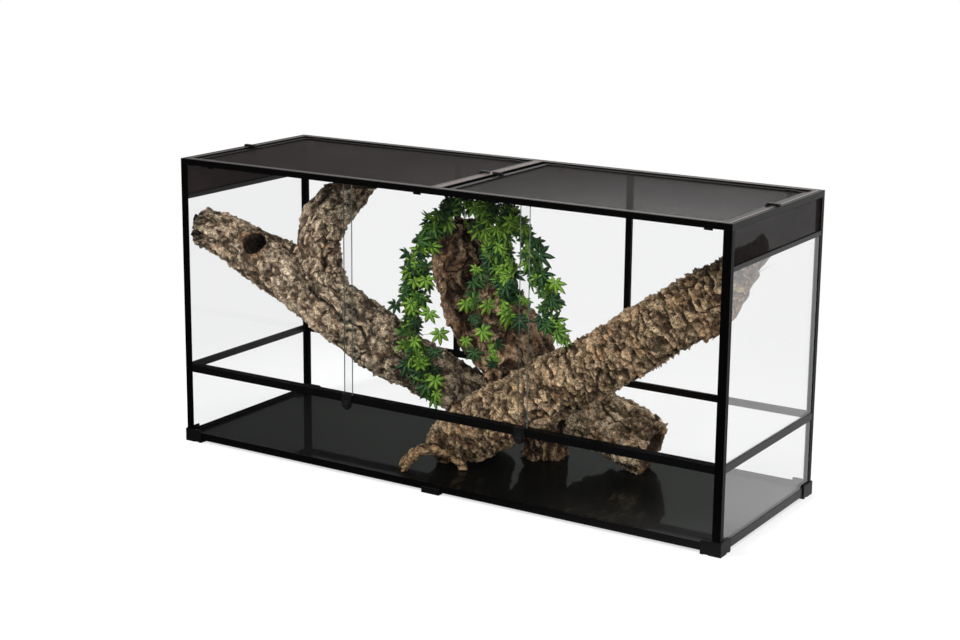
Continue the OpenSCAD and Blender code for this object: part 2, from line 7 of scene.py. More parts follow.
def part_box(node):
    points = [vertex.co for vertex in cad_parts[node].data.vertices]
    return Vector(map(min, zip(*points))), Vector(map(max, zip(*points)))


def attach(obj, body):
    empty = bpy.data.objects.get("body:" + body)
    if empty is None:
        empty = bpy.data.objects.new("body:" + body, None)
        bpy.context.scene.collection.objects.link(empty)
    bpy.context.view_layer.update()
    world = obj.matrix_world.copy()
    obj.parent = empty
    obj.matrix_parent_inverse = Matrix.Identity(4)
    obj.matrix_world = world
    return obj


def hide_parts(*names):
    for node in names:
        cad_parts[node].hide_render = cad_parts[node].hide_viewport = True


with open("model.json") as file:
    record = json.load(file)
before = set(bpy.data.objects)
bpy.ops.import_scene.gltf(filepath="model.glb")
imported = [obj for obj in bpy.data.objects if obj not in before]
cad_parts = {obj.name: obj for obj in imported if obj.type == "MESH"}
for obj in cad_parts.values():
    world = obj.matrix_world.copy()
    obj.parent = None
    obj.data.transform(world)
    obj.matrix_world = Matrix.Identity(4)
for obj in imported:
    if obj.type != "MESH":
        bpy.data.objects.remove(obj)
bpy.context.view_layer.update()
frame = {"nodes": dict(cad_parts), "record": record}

nodes = frame["nodes"]
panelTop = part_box("base_panel")[1].z
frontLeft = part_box("post_front_left")[0]
tankCorner = np.array([frontLeft.x, frontLeft.y, panelTop])
print("frame loaded:", len(nodes), "nodes")


def show(name, data):
    # puts a mesh, lamp or camera into the scene
    made = bpy.data.objects.new(name, data)
    bpy.context.scene.collection.objects.link(made)
    return made


eye = {                       # where the camera stands and how it looks
    "place": (2.848, -4.572, 1.792),    # metres
    "turn": 32.192,           # degrees to the left of straight in
    "tilt": 12.495,           # degrees down
    "roll": 0.524,            # degrees, its right side up
    "focal": 1870.9 / 960,    # in picture widths
    "shiftY": -0.05,          # of the lens, in picture widths
}


def makeCamera():
    # the camera's right, up and ahead are worked out from its turn, tilt and roll
    turn, tilt, roll = np.radians([eye["turn"], eye["tilt"], eye["roll"]])
    level = np.array([np.cos(turn), np.sin(turn), 0])
    ahead = np.array([-np.sin(turn) * np.cos(tilt), np.cos(turn) * np.cos(tilt), -np.sin(tilt)])
    over = np.cross(level, ahead)
    right = level * np.cos(roll) + over * np.sin(roll)
    up = over * np.cos(roll) - level * np.sin(roll)
    data = bpy.data.cameras.new("camera")
    data.sensor_width = 36
    data.lens = data.sensor_width * eye["focal"]
    data.shift_y = eye["shiftY"]
    camera = show("camera", data)
    turned = np.eye(4)
    turned[:3] = np.stack([right, up, -ahead, eye["place"]], axis=1)
    camera.matrix_world = Matrix(turned.tolist())
    bpy.context.scene.camera = camera


makeCamera()


class Link:
    # a socket that does arithmetic: each operator adds one Math node
    def __init__(self, finish, socket):
        self.finish, self.socket = finish, socket

    def math(self, operation, *values):
        return self.finish.node("ShaderNodeMath", {"operation": operation}, dict(enumerate(values)))

    def __add__(self, other):
        return self.math("ADD", self, other)

    def __sub__(self, other):
        return self.math("SUBTRACT", self, other)

    def __rsub__(self, other):
        return self.math("SUBTRACT", other, self)

    def __mul__(self, other):
        return self.math("MULTIPLY", self, other)

    def __pow__(self, other):
        return self.math("POWER", self, other)

    def __lt__(self, other):
        return self.math("LESS_THAN", self, other)

    def __gt__(self, other):
        return self.math("GREATER_THAN", self, other)

    def __abs__(self):
        return self.math("ABSOLUTE", self)

    __radd__, __rmul__ = __add__, __mul__

    def lower(self, other):
        return self.math("MINIMUM", self, other)

    def higher(self, other):
        return self.math("MAXIMUM", self, other)

    def between(self, low, high):
        # 0 up to low, 1 from high on, a smooth step in between
        return self.finish.node(
            "ShaderNodeMapRange", {"interpolation_type": "SMOOTHSTEP"},
            {"Value": self, "From Min": low, "From Max": high, "To Min": 0.0, "To Max": 1.0})


class Finish:
    # one node tree, of a material or of the world
    def __init__(self, owner):
        owner.use_nodes = True
        self.owner, self.tree = owner, owner.node_tree
        self.tree.nodes.clear()

    def node(self, kind, settings=None, sockets=None, output=0):
        # any node: its type, its settings, then the values or links of its sockets
        made = self.tree.nodes.new(kind)
        for name, value in (settings or {}).items():
            setattr(made, name, value)
        for name, value in (sockets or {}).items():
            if isinstance(value, Link):
                self.tree.links.new(value.socket, made.inputs[name])
            else:
                made.inputs[name].default_value = value
        return Link(self, made.outputs[output]) if made.outputs else made

    def where(self, stretch=(1, 1, 1), turn=(0, 0, 0)):
        place = self.node("ShaderNodeTexCoord", output="Object")
        return self.node("ShaderNodeMapping", None, {"Vector": place, "Scale": stretch, "Rotation": turn})

    def noise(self, place, scale, detail=3, roughness=0.55, distortion=0):
        return self.node("ShaderNodeTexNoise", None, {
            "Vector": place, "Scale": scale, "Detail": detail, "Roughness": roughness,
            "Distortion": distortion})

    def cells(self, place, scale):
        return self.node("ShaderNodeTexVoronoi", None, {"Vector": place, "Scale": scale})

    def waves(self, place, scale, axis):
        return self.node("ShaderNodeTexWave", {"bands_direction": axis}, {"Vector": place, "Scale": scale})

    def attribute(self, name):
        return self.node("ShaderNodeAttribute", {"attribute_name": name}, output="Fac")

    def facing(self, axis):
        # how far a face looks along an axis, from -1 to 1
        normal = self.node("ShaderNodeNewGeometry", output="Normal")
        return self.node("ShaderNodeSeparateXYZ", None, {0: normal}, output=axis)

    def aslant(self):
        # 0 where a face is seen straight on, 1 where it is seen from its edge
        return self.node("ShaderNodeLayerWeight", None, {"Blend": 0.5}, output="Facing")

    def mix(self, mask, first, second, how="MIX"):
        colours = [c if isinstance(c, Link) else (*c, 1) for c in (first, second)]
        return self.node("ShaderNodeMix", {"data_type": "RGBA", "blend_type": how},
                         {0: mask, 6: colours[0], 7: colours[1]}, output=2)

    def bump(self, height, distance, strength=1.0):
        sockets = {"Height": height, "Distance": distance, "Strength": strength}
        return self.node("ShaderNodeBump", None, sockets)

    def gloss(self, tint, rough):
        return self.node("ShaderNodeBsdfGlossy", None, {"Color": tint, "Roughness": rough})

    def glow(self, kind, strength):
        # an even white light, as an Emission or, for the world, a Background
        return self.node(f"ShaderNode{kind}", None, {"Color": (1, 1, 1, 1), "Strength": strength})

    def surface(self, **sockets):
        # a Principled shader; a low line in a socket's name stands for a space
        named = {name.replace("_", " "): value for name, value in sockets.items()}
        colour = named.get("Base Color")
        if isinstance(colour, tuple):
            named["Base Color"] = (*colour, 1)
        return self.node("ShaderNodeBsdfPrincipled", None, named)

    def blend(self, mask, first, second):
        return self.node("ShaderNodeMixShader", None, {0: mask, 1: first, 2: second})

    def done(self, shader):
        kind = "World" if isinstance(self.owner, bpy.types.World) else "Material"
        self.node(f"ShaderNodeOutput{kind}", None, {"Surface": shader})
        return self.owner


def newFinish(name):
    return Finish(bpy.data.materials.new(name))


def shaded(colour, times):
    # a colour made darker or paler
    return tuple(part * times for part in colour)


coats = {                     # colour, roughness, gloss, and the span and depth of the grain in metres
    "frame_black": ((0.0014, 0.0011, 0.0011), 0.3, 0.26, 0.0011, 0.00003),
    "post_black": ((0.0014, 0.0011, 0.0011), 0.34, 0.06, 0.0011, 0.00003),
    "lid_black": ((0.006, 0.0045, 0.0042), 0.3, 0.5, 0.0011, 0.00003),
    "track_black": ((0.0014, 0.0013, 0.0014), 0.4, 0.2, 0.0016, 0.00002),
    "corner_plastic": ((0.0025, 0.0024, 0.0024), 0.45, 0.25, 0.0007, 0.00006),
    "clip_plastic": ((0.002, 0.002, 0.002), 0.3, 0.35, 0.002, 0.00002),
}


def coat(name, colour, rough, gloss, span, depth):
    # powder coat or moulded plastic: an even black, a little uneven in sheen, with a fine grain, and paler in
    # cloudy streaks that are strongest on top faces: dust, and a painted sheen on the tops
    f = newFinish(name)
    place = f.where()
    cloud = f.noise(place, 6, 4)
    grain = f.noise(place, 1 / span, 2)
    streak = f.noise(f.where((3, 60, 60)), 1, 3)
    # dust and painted sheen: the streaks are strongest on faces that look up and gone on faces that look down
    dust = (f.facing("Z") * 0.5 + 0.5) * (cloud * 0.6 + streak * 0.4)
    tone = f.mix(dust.between(0.25, 1.0), colour, tuple(part + 0.006 for part in colour))
    return f.done(f.surface(Base_Color=tone, Roughness=cloud * 0.1 + streak * 0.06 + (rough - 0.08),
                            Specular_IOR_Level=gloss, Normal=f.bump(grain, depth)))


def metal(name, colour, rough):
    # turned and blackened metal, with fine rings of tool marks round the lock's axis
    f = newFinish(name)
    marks = f.noise(f.where((400, 40, 400)), 1, 2)
    wear = f.noise(f.where(), 90, 4).between(0.45, 0.7)
    tone = f.mix(wear * 0.5, colour, shaded(colour, 1.8))
    rough = marks * 0.16 + (rough - 0.08)
    return f.done(f.surface(Base_Color=tone, Metallic=0.6, Roughness=rough, Normal=f.bump(marks, 0.00003)))


baseLook = {                  # mirror is what it reflects straight on, slant what it gains at a low angle
    "colour": (0.0016, 0.0018, 0.0016), "dust": (0.02, 0.02, 0.018),
    "mirror": 0.042, "slant": 0.03, "tint": (0.92, 1.0, 0.93, 1), "rough": 0.03,
}


def basePanel(look):
    # polished black sheet that mirrors the bark faintly, with dust and a few soft smears
    f = newFinish("base_gloss")
    smear = f.noise(f.where((3, 9, 3), (0, 0, 0.5)), 1, 4, 0.6, 0.4)
    dust = f.noise(f.where(), 900, 1).between(0.68, 0.74)
    tone = f.mix(dust * 0.1 + smear * 0.05, look["colour"], look["dust"])
    body = f.surface(Base_Color=tone, Roughness=0.5, Specular_IOR_Level=0.02)
    shine = f.aslant() ** 4 * look["slant"] + look["mirror"] + smear * 0.004
    return f.done(f.blend(shine, body, f.gloss(look["tint"], look["rough"])))


meshes = {                    # the two ways the wires run, the air between them, and how pale the wires are painted, as painted light and shade
    "side_mesh": {"wires": "YZ", "air": 0.7, "painted_light": 0.7, "sheen": 0.02},
    # painted light: the left vent, lit from inside, is painted four times paler than the right
    "left_mesh_painted_paler": {"wires": "YZ", "air": 1.0, "painted_light": 2.8, "sheen": 0.02},
    "lid_mesh": {"wires": "XY", "air": 1.0, "painted_light": 0.9, "sheen": 0.07},
}
meshLook = {"pitch": 0.0019, "thread": (0.0125, 0.0088, 0.008)}    # metres from wire to wire, and colour


def mesh(name, look):
    # woven wire: threads both ways, each a soft ridge, with air between them that closes up at a low angle;
    # a wave of scale 1 comes round every pi / 10 metres
    f = newFinish(name)
    place = f.where()
    first, second = (f.waves(place, np.pi / (10 * meshLook["pitch"]), axis) for axis in look["wires"])
    weave = first.higher(second)
    cloud = f.noise(place, 5, 3)
    dust = f.noise(f.where((2, 9, 9)), 1, 5, 0.65)
    # the one wire colour, painted paler or darker for the light this mesh gets
    wire = shaded(meshLook["thread"], look["painted_light"])
    tone = f.mix(cloud.between(0.3, 0.7), wire, shaded(wire, 1.5))
    tone = f.mix(dust.between(0.5, 0.75) * 0.3, tone, shaded(wire, 2.2))
    air = (1 - weave.between(0.05, 0.75)) * (1 - f.aslant()).between(0.1, 0.22) * look["air"]
    return f.done(f.surface(Base_Color=tone, Roughness=0.5, Specular_IOR_Level=look["sheen"], Alpha=1 - air,
                            Normal=f.bump(weave, 0.0002, 0.4)))


railOut = (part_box("top_rail_right")[1].x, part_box("top_rail_back")[1].y)    # outer edges of the frame
railLook = {                  # rail and bar give the painted highlight lines of each: its two edges and how strong its painted highlight is
    "colour": (0.0014, 0.0011, 0.0011), "painted_highlight": (0.62, 0.51, 0.475), "rough": 0.26, "grain": 0.0011,
    "soft": 0.0006,           # half the width over which a line's edge fades
    "rail": [(0.013, 0.0165, 1.0), (0.02, 0.024, 0.2)],
    "bar": [(-1, 0.0095, 0.9), (0.0115, 0.0145, 0.7)],
}


def railCoat(name, lines, middle=False):
    # a black extruded bar with painted highlight lines on its top faces, standing in for the light they catch; a
    # line is its two edges, in metres from the outer edge of the frame or from the middle of the tank, and how
    # strong its painted highlight is
    f = newFinish(name)
    place = f.where()
    x, y = (abs(f.node("ShaderNodeSeparateXYZ", None, {0: place}, output=axis)) for axis in "XY")
    inward = x if middle else (railOut[0] - x).lower(railOut[1] - y)
    cloud = f.noise(place, 9, 4)
    streak = f.noise(f.where((40, 40, 400)), 1, 3)
    soft = railLook["soft"]
    highlight = sum(inward.between(low - soft, low + soft) * inward.between(high + soft, high - soft) * amount
               for low, high, amount in lines)
    # the painted highlight shows only on faces that look up, in cloudy streaks
    highlight = highlight * (f.facing("Z") > 0.5) * (cloud * 0.5 + streak * 0.5).between(0.1, 0.5)
    tone = f.mix(highlight, railLook["colour"], railLook["painted_highlight"])
    grain = f.noise(place, 1 / railLook["grain"], 2)
    return f.done(f.surface(Base_Color=tone, Metallic=highlight, Roughness=cloud * 0.1 + railLook["rough"],
                            Specular_IOR_Level=0.12, Normal=f.bump(grain, 0.00003)))


glassLook = {                 # the axis that a sheet faces along, its tint, and what it mirrors straight on
    "door_glass": {"axis": "Y", "tint": (0.989, 0.991, 0.99, 1), "mirror": 0.022},
    "pane_glass": {"axis": "Y", "tint": (0.989, 0.991, 0.99, 1), "mirror": 0.022},
    "left_glass": {"axis": "X", "tint": (0.956, 0.958, 0.957, 1), "mirror": 0.01},
    "right_glass": {"axis": "X", "tint": (0.984, 0.988, 0.985, 1), "mirror": 0.105},
}
glassEdge = (0.09, 0.12, 0.105)    # colour of the sawn edges


def glass(name, look):
    # clear sheet: it mirrors mirror + (1 - mirror) * aslant^5 of what is round it, and its sawn edges,
    # which are the faces turned away from the sheet's own axis, are a dull green
    f = newFinish(name)
    shine = f.aslant() ** 5 * (1 - look["mirror"]) + look["mirror"]
    clear = f.node("ShaderNodeBsdfTransparent", None, {"Color": look["tint"]})
    sheet = f.blend(shine, clear, f.gloss((1, 1, 1, 1), 0.0))
    ripple = f.noise(f.where((500, 500, 8)), 1, 2)
    tone = f.mix(ripple, glassEdge, shaded(glassEdge, 1.6))
    edge = f.surface(Base_Color=tone, Roughness=0.25, Normal=f.bump(ripple, 0.0001))
    return f.done(f.blend(abs(f.facing(look["axis"])) < 0.5, sheet, edge))


finishes = {name: coat(name, *look) for name, look in coats.items()}
finishes |= {
    "lock_metal": metal("lock_metal", (0.012, 0.012, 0.012), 0.4),
    "knob_metal": metal("knob_metal", (0.02, 0.02, 0.02), 0.34),
    "base_gloss": basePanel(baseLook),
}
finishes |= {name: mesh(name, look) for name, look in meshes.items()}
finishes |= {
    "rail_top": railCoat("rail_top", railLook["rail"]),
    "light_bar": railCoat("light_bar", railLook["bar"], True),
}
finishes |= {name: glass(name, look) for name, look in glassLook.items()}
own = {"panes_left": "left_glass", "panes_right": "right_glass", "vent_mesh_left": "left_mesh_painted_paler"}
own |= {f"top_rail_{side}": "rail_top" for side in ("front", "back", "left", "right")}
own |= {f"post_{corner}": "post_black" for corner in ("front_left", "front_right", "back_left", "back_right")}
for row in frame["record"]["subparts"]:
    finish = finishes.get(own.get(row["node"], row["material_slot"]))
    if finish:                # bark and vine have none, they are replaced below
        nodes[row["node"]].data.materials.clear()
        nodes[row["node"]].data.materials.append(finish)
print("finishes set")


latticeSize = 32
lattice = np.random.default_rng(11).random((latticeSize, latticeSize, latticeSize, 3))


def noise(place, size, turn=0):
    # a random number at each corner of a lattice of cubes of the given size, eased in between, from -1 to 1;
    # each turn shifts the lattice to another part
    place = np.asarray(place) / size + 7.31 * turn
    cell = np.floor(place).astype(int)
    part = place - cell
    part = part * part * (3 - 2 * part)
    total = 0
    for corner in np.ndindex(2, 2, 2):
        near = (cell + corner) % latticeSize
        weight = np.prod(np.where(corner, part, 1 - part), axis=-1)
        total = total + weight * lattice[near[..., 0], near[..., 1], near[..., 2], 0]
    return total * 2 - 1


def wobble(place, size, turn):
    # three noises side by side, to push a place about
    return np.stack([noise(place, size, turn + k) for k in range(3)], axis=-1)


def smooth(value, low, high):
    # 0 up to low, 1 from high on, eased in between
    part = np.clip((value - low) / (high - low), 0, 1)
    return part * part * (3 - 2 * part)


def unit(vectors):
    # each vector divided by its length
    return vectors / np.linalg.norm(vectors, axis=-1, keepdims=True)


def seat(points):
    # across, deep and up in millimetres inside the tank, to metres in the frame
    return np.asarray(points, float) / 1000 + tankCorner


def readAt(steps, run, values):
    # the columns of values, which are known at the lengths in run, read at the steps
    return np.stack([np.interp(steps, run, column) for column in values.T], axis=1)


def follow(points, count):
    # a smooth line through the points, as Catmull and Rom give it, in even steps of length
    points = np.asarray(points, float)
    ends = np.vstack([2 * points[0] - points[1], points, 2 * points[-1] - points[-2]])
    t = np.linspace(0, len(points) - 1, count * 4)
    i = np.minimum(t.astype(int), len(points) - 2)
    f = (t - i)[:, None]
    a, b, c, d = (ends[i + k] for k in range(4))
    fine = 2 * b + (c - a) * f + (2 * a - 5 * b + 4 * c - d) * f ** 2 + (3 * b - a - 3 * c + d) * f ** 3
    fine = 0.5 * fine
    run = np.concatenate([[0], np.cumsum(np.linalg.norm(np.diff(fine[:, :3], axis=0), axis=1))])
    even = np.linspace(0, run[-1], count)
    return readAt(even, run, fine), even


def spokes(ahead, aside, angle):
    # unit vectors round each direction ahead: over * cos + side * sin of the angle, over being square to
    # ahead and to the direction aside, and side square to both
    over = unit(np.cross(ahead, aside))
    side = np.cross(ahead, over)
    return over[:, None] * np.cos(angle)[:, None] + side[:, None] * np.sin(angle)[:, None]


def ringQuads(rows, ring):
    # quads between neighbouring rings
    i = np.arange(rows - 1)[:, None] * ring
    j = np.arange(ring)[None, :]
    k = (j + 1) % ring
    return np.stack([i + j, i + k, i + ring + k, i + ring + j], axis=-1).reshape(-1, 4)


def band(rows, ring):
    # quads between neighbouring rings, and a cap of triangles on a point at each end
    j, k, last = np.arange(ring), (np.arange(ring) + 1) % ring, (rows - 1) * ring
    low = np.stack([k, j, np.full(ring, rows * ring)], axis=1)
    high = np.stack([last + j, last + k, np.full(ring, rows * ring + 1)], axis=1)
    return ringQuads(rows, ring).tolist() + low.tolist() + high.tolist()


def makePiece(name, places, faces, finish, marks=None, hides=()):
    # a smooth mesh that rides on the frame; each mark is a number at every point, for its finish
    made = bpy.data.meshes.new(name)
    made.from_pydata(places.tolist(), [], faces)
    made.shade_smooth()
    for mark, values in (marks or {}).items():
        values = np.ravel(values).astype(np.float32)
        made.attributes.new(mark, "FLOAT", "POINT").data.foreach_set("value", values)
    made.materials.append(finish)
    piece = show(name, made)
    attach(piece, "frame")
    if hides:
        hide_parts(*hides)


# the room inside the panes, less a small gap to each
wallLow = np.array([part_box("panes_left")[1].x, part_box("door_right")[1].y, panelTop]) + (0.001, 0.004, 0.0003)
wallHigh = np.array([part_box("panes_right")[0].x - 0.001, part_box("pane_back_lower")[0].y - 0.001,
                     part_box("cork_forked")[1].z])


def barkFinish(name, look):
    # dry cork: darker where the relief is low and paler on its crests, painted shade and painted light, the
    # crests also weathered grey; brown flanks; cracks, pits and the knot hole painted near black as shade; and a
    # warm tan where broken or sawn
    f = newFinish(name)
    place = f.where()
    marks = ("deep", "crest", "plate", "inner", "cut")
    deep, crest, plate, inner, cut = (f.attribute(mark) for mark in marks)
    patch = f.noise(place, 11, 4, 0.6, 0.6)
    grit = f.noise(place, 70, 4, 0.7)
    fine = f.noise(place, 240, 2, 0.7)
    pits = f.cells(place, 120)
    # painted shade: darker where the relief is low, by the crest mark
    tone = f.mix(crest.between(0.14, 0.52), look["dark"], look["mid"])
    tone = f.mix(patch.between(0.45, 0.6) * plate.between(0.3, 0.7) * look["warm"], tone, look["broken"])
    # painted light on the highest crests, together with their weathered grey
    tone = f.mix(crest.between(0.45, 0.92) * look["pale"], tone, look["light"])
    tone = f.mix(plate.between(0.54, 0.84) * 0.5, tone, look["light"])
    tone = f.mix(plate.between(0.46, 0.16) * 0.55, tone, look["dark"])
    tone = f.mix(1.0, tone, grit.between(0.36, 0.66) * 1.15 + 0.38, "MULTIPLY")
    tone = f.mix(1.0, tone, fine.between(0.36, 0.64) * 0.7 + 0.65, "MULTIPLY")
    # small pits painted near black, painted shade
    tone = f.mix(pits.between(0.32, 0.14) * patch.between(0.58, 0.45) * 0.85, tone, look["painted_hollow_dark"])
    fleck = f.noise(place, 75, 3, 0.8).between(0.62, 0.69) * patch.between(0.35, 0.6) * look["flecks"]
    tone = f.mix(fleck, tone, look["fleck"])
    # cracks, seams and the knot hole painted near black, painted shade
    tone = f.mix(deep.between(0.1, 0.9) * 0.9, tone, look["painted_hollow_dark"])
    inside = f.mix(grit.between(0.3, 0.7), look["inside"], shaded(look["inside"], 0.4))
    tone = f.mix(inner, tone, inside)
    broken = f.mix(grit.between(0.42, 0.6), shaded(look["broken"], 0.22), look["broken"])
    tone = f.mix(cut, tone, broken)
    height = grit + fine * 0.3 - pits.between(0.4, 0.1) * 0.3
    return f.done(f.surface(Base_Color=tone, Roughness=grit * 0.15 + 0.8, Specular_IOR_Level=0.25,
                            Normal=f.bump(height, 0.0055)))


barkColours = {               # colours, and how strongly the pale crests (painted light as well as weathering), flecks and warm patches show
    "grey": {"dark": (0.085, 0.058, 0.037), "mid": (0.3, 0.22, 0.147), "light": (0.74, 0.6, 0.43),
             "painted_hollow_dark": (0.01, 0.007, 0.005), "fleck": (0.85, 0.8, 0.68), "inside": (0.07, 0.042, 0.025),
             "broken": (0.54, 0.33, 0.19), "pale": 0.45, "flecks": 0.9, "warm": 0.4},
    "red": {"dark": (0.055, 0.03, 0.016), "mid": (0.22, 0.13, 0.073), "light": (0.64, 0.45, 0.29),
            "painted_hollow_dark": (0.009, 0.005, 0.003), "fleck": (0.7, 0.55, 0.37), "inside": (0.1, 0.055, 0.028),
            "broken": (0.46, 0.24, 0.11), "pale": 0.45, "flecks": 0.5, "warm": 0.5},
    "scale": {"dark": (0.07, 0.042, 0.022), "mid": (0.245, 0.162, 0.09), "light": (0.74, 0.55, 0.34),
              "painted_hollow_dark": (0.01, 0.006, 0.004), "fleck": (0.8, 0.7, 0.5), "inside": (0.12, 0.08, 0.05),
              "broken": (0.54, 0.27, 0.12), "pale": 0.5, "flecks": 0.6, "warm": 0.5},
    "umber": {"dark": (0.12, 0.08, 0.045), "mid": (0.42, 0.295, 0.18), "light": (0.88, 0.7, 0.48),
              "painted_hollow_dark": (0.01, 0.006, 0.004), "fleck": (0.8, 0.7, 0.5), "inside": (0.12, 0.08, 0.05),
              "broken": (0.54, 0.28, 0.13), "pale": 0.5, "flecks": 0.5, "warm": 0.45},
    "tan": {"dark": (0.04, 0.02, 0.01), "mid": (0.17, 0.095, 0.045), "light": (0.5, 0.33, 0.18),
            "painted_hollow_dark": (0.012, 0.006, 0.003), "fleck": (0.7, 0.52, 0.32), "inside": (0.12, 0.065, 0.028),
            "broken": (0.55, 0.35, 0.18), "pale": 0.5, "flecks": 0.6, "warm": 0.3},
}
barkFinishes = {name: barkFinish(f"bark_{name}", look) for name, look in barkColours.items()}

reliefs = {                   # heights and spans in millimetres; crumbs are pairs of span and height
    "grey": {"lumps": 7, "crumbs": [(44, 4.6), (21, 3.8), (11, 3)], "stretch": 1.5, "tuft": 5,
             "flake": 19, "flat": 1.25, "step": 3.8, "lean": 1.8,
             "seam": 66, "long": 3.4, "wide": 0.1, "cut": 10},
    "red": {"lumps": 9, "crumbs": [(42, 6), (20, 5), (11, 3.4)], "stretch": 2.2, "tuft": 3,
            "flake": 20, "flat": 1.9, "step": 6, "lean": 4,
            "seam": 50, "long": 3.2, "wide": 0.1, "cut": 7},
    "scale": {"lumps": 7, "crumbs": [(40, 3.2), (19, 1.9), (10, 1.5)], "stretch": 0.9, "tuft": 4,
              "flake": 30, "flat": 0.55, "step": 6.5, "lean": 11,
              "seam": 80, "long": 2.2, "wide": 0.06, "cut": 7},
}


bends = [(0.05, 0.014), (0.016, 0.006)]    # spans and heights in metres of what bends the relief's lines
chipBend = (0.008, 0.004)     # the same for the edges of the smaller flakes
spans = {                     # metres over which the other parts of the relief change
    "lump": 0.13, "smallLump": 0.055, "tuft": 0.012, "chip": 0.011, "seamBreak": 0.04, "crackBreak": 0.07,
}
seamLook = {"wide": 0.16, "cut": 1.8}    # width in parts of a flake, depth in millimetres
rollRadius = 0.08             # radius in metres of the roll that the relief is worked out on


def flakes(place, size, turn):
    # one random point in each cube of a lattice, and every place belongs to the nearest: how far the second
    # nearest is beyond that, which is 0 on the edge between two flakes, a random number for the flake, and
    # how far on along Z its point is, in cubes
    place = place / size + 3.77 * turn
    cell = np.floor(place).astype(int)
    first = np.full(place.shape[:-1], 9.0)
    second, chance, lean = first.copy(), np.zeros_like(first), np.zeros_like(first)
    for corner in np.ndindex(3, 3, 3):
        near = cell + corner - 1
        spot = lattice[tuple(np.moveaxis(near % latticeSize, -1, 0))]
        away = near + spot - place
        far = np.linalg.norm(away, axis=-1)
        closer = far < first
        second = np.where(closer, first, np.minimum(second, far))
        chance = np.where(closer, spot[..., 1], chance)
        lean = np.where(closer, away[..., 2], lean)
        first = np.where(closer, far, first)
    return second - first, chance, lean


def relief(flat, look, turn):
    # height of the bark above its tube, flat being the place on the unrolled tube, bent so that nothing runs
    # straight: slow lumps; crumbs of three sizes, each |noise|, so round with sharp creases; flakes of two
    # sizes that stand higher or lower by chance and lean along the tube like shingles; small tufts; and long
    # cracks, where another noise crosses 0, broken up by a third
    bent = flat
    for k, (span, high) in enumerate(bends):
        bent = bent + high * wobble(flat, span, turn + 3 * k)
    long = bent / [1, 1, look["stretch"]]
    crumb = sum(high * (2 * abs(noise(long, span / 1000, turn + 10 + k)) - 0.55)
                for k, (span, high) in enumerate(look["crumbs"]))
    gap, plate, lean = flakes(bent / [1, 1, look["flat"]], look["flake"] / 1000, turn)
    chipped = bent + chipBend[1] * wobble(flat, chipBend[0], turn + 4)
    _, chip, chipLean = flakes(chipped / [1, 1, look["flat"]], spans["chip"], turn + 2)
    flake = look["step"] * (plate - 0.5) + look["lean"] * lean + 0.5 * look["step"] * (chip - 0.5 + chipLean)
    seam = 1 - smooth(gap, 0, seamLook["wide"])
    seam = seam * smooth(noise(flat, spans["seamBreak"], turn + 23), -0.5, 0.3)
    broken = smooth(noise(flat, spans["crackBreak"], turn + 24), -0.25, 0.2)
    winding = abs(noise(bent / [1, 1, look["long"]], look["seam"] / 1000, turn + 5))
    crack = broken * (1 - smooth(winding, 0, look["wide"]))
    lump = noise(flat, spans["lump"], turn + 20) + 0.5 * noise(flat, spans["smallLump"], turn + 21)
    lump = look["lumps"] * lump
    tuft = look["tuft"] * smooth(noise(bent, spans["tuft"], turn + 26), 0.35, 0.8)
    height = lump + crumb + flake + tuft - look["cut"] * crack - seamLook["cut"] * seam
    rise = crumb + flake + tuft
    # deep marks cracks and seams, painted near black as shade; crest is how high the relief stands, painted
    # darker low and paler high as shade and light; plate is each flake's own chance, for its tone
    return (height - height.mean()) / 1000, {
        "deep": np.clip(crack + 0.75 * seam, 0, 1), "plate": 0.7 * plate + 0.3 * chip,
        "crest": smooth(rise, *np.percentile(rise, [2, 98]))}


tube = {                      # what all the tubes share; lengths in metres
    "aside": (0, 1, 0),       # the rings start square to this direction
    "endRings": 12,           # rings of the inner wall at each end
    "lip": np.array([0.003, 0.0012, 0.0]),        # how far inside the end the rings of its lip lie
    "lipTurn": np.array([0.8, 0.35, 0.08]),       # how far they have turned in, from 0 to 1
    "plug": 0.0045,           # how far inside the end a shut one is closed
    "fray": [(0.03, 0.007), (0.009, 0.004)],      # spans and heights of the torn ends
    "frayZone": 0.02,         # how far from the end the tube is torn
    "wallSpan": 0.035,        # over which the wall's thickness changes, and by what part of it
    "wallChange": 0.35,
    "pressed": (0.002, 0.006),    # bark that the glass would hold back this far looks cut
}


def tubeSteps(run, look):
    # where the rings lie along the line, how far each has turned in to the inner wall, and how far those of a
    # shut end have closed up to the middle line, from 0 to 1
    rings, lip = tube["endRings"], tube["lip"]
    inward = np.linspace(look["hollow"] / 1000, 0.004, rings)
    steps = np.concatenate([inward, lip, run[1:-1], run[-1] - lip[::-1], run[-1] - inward[::-1]])
    shut = np.zeros(len(steps))
    closing = np.linspace(1, 0.08, rings)
    if 0 in look["shut"]:
        shut[:rings], steps[:rings] = closing, tube["plug"] - 0.001 * closing
    if 1 in look["shut"]:
        shut[-rings:], steps[-rings:] = closing[::-1], run[-1] - tube["plug"] + 0.001 * closing[::-1]
    inner = np.concatenate([np.ones(rings), tube["lipTurn"], np.zeros(len(run) - 2), tube["lipTurn"][::-1],
                            np.ones(rings)])
    return steps, inner[:, None], shut[:, None]


def raggedEdge(flat, pairs, turn):
    # a noise round the tube for each pair of span and height, the same all along it
    return sum(high * noise(flat * [1, 1, 0], span, turn + k) for k, (span, high) in enumerate(pairs))


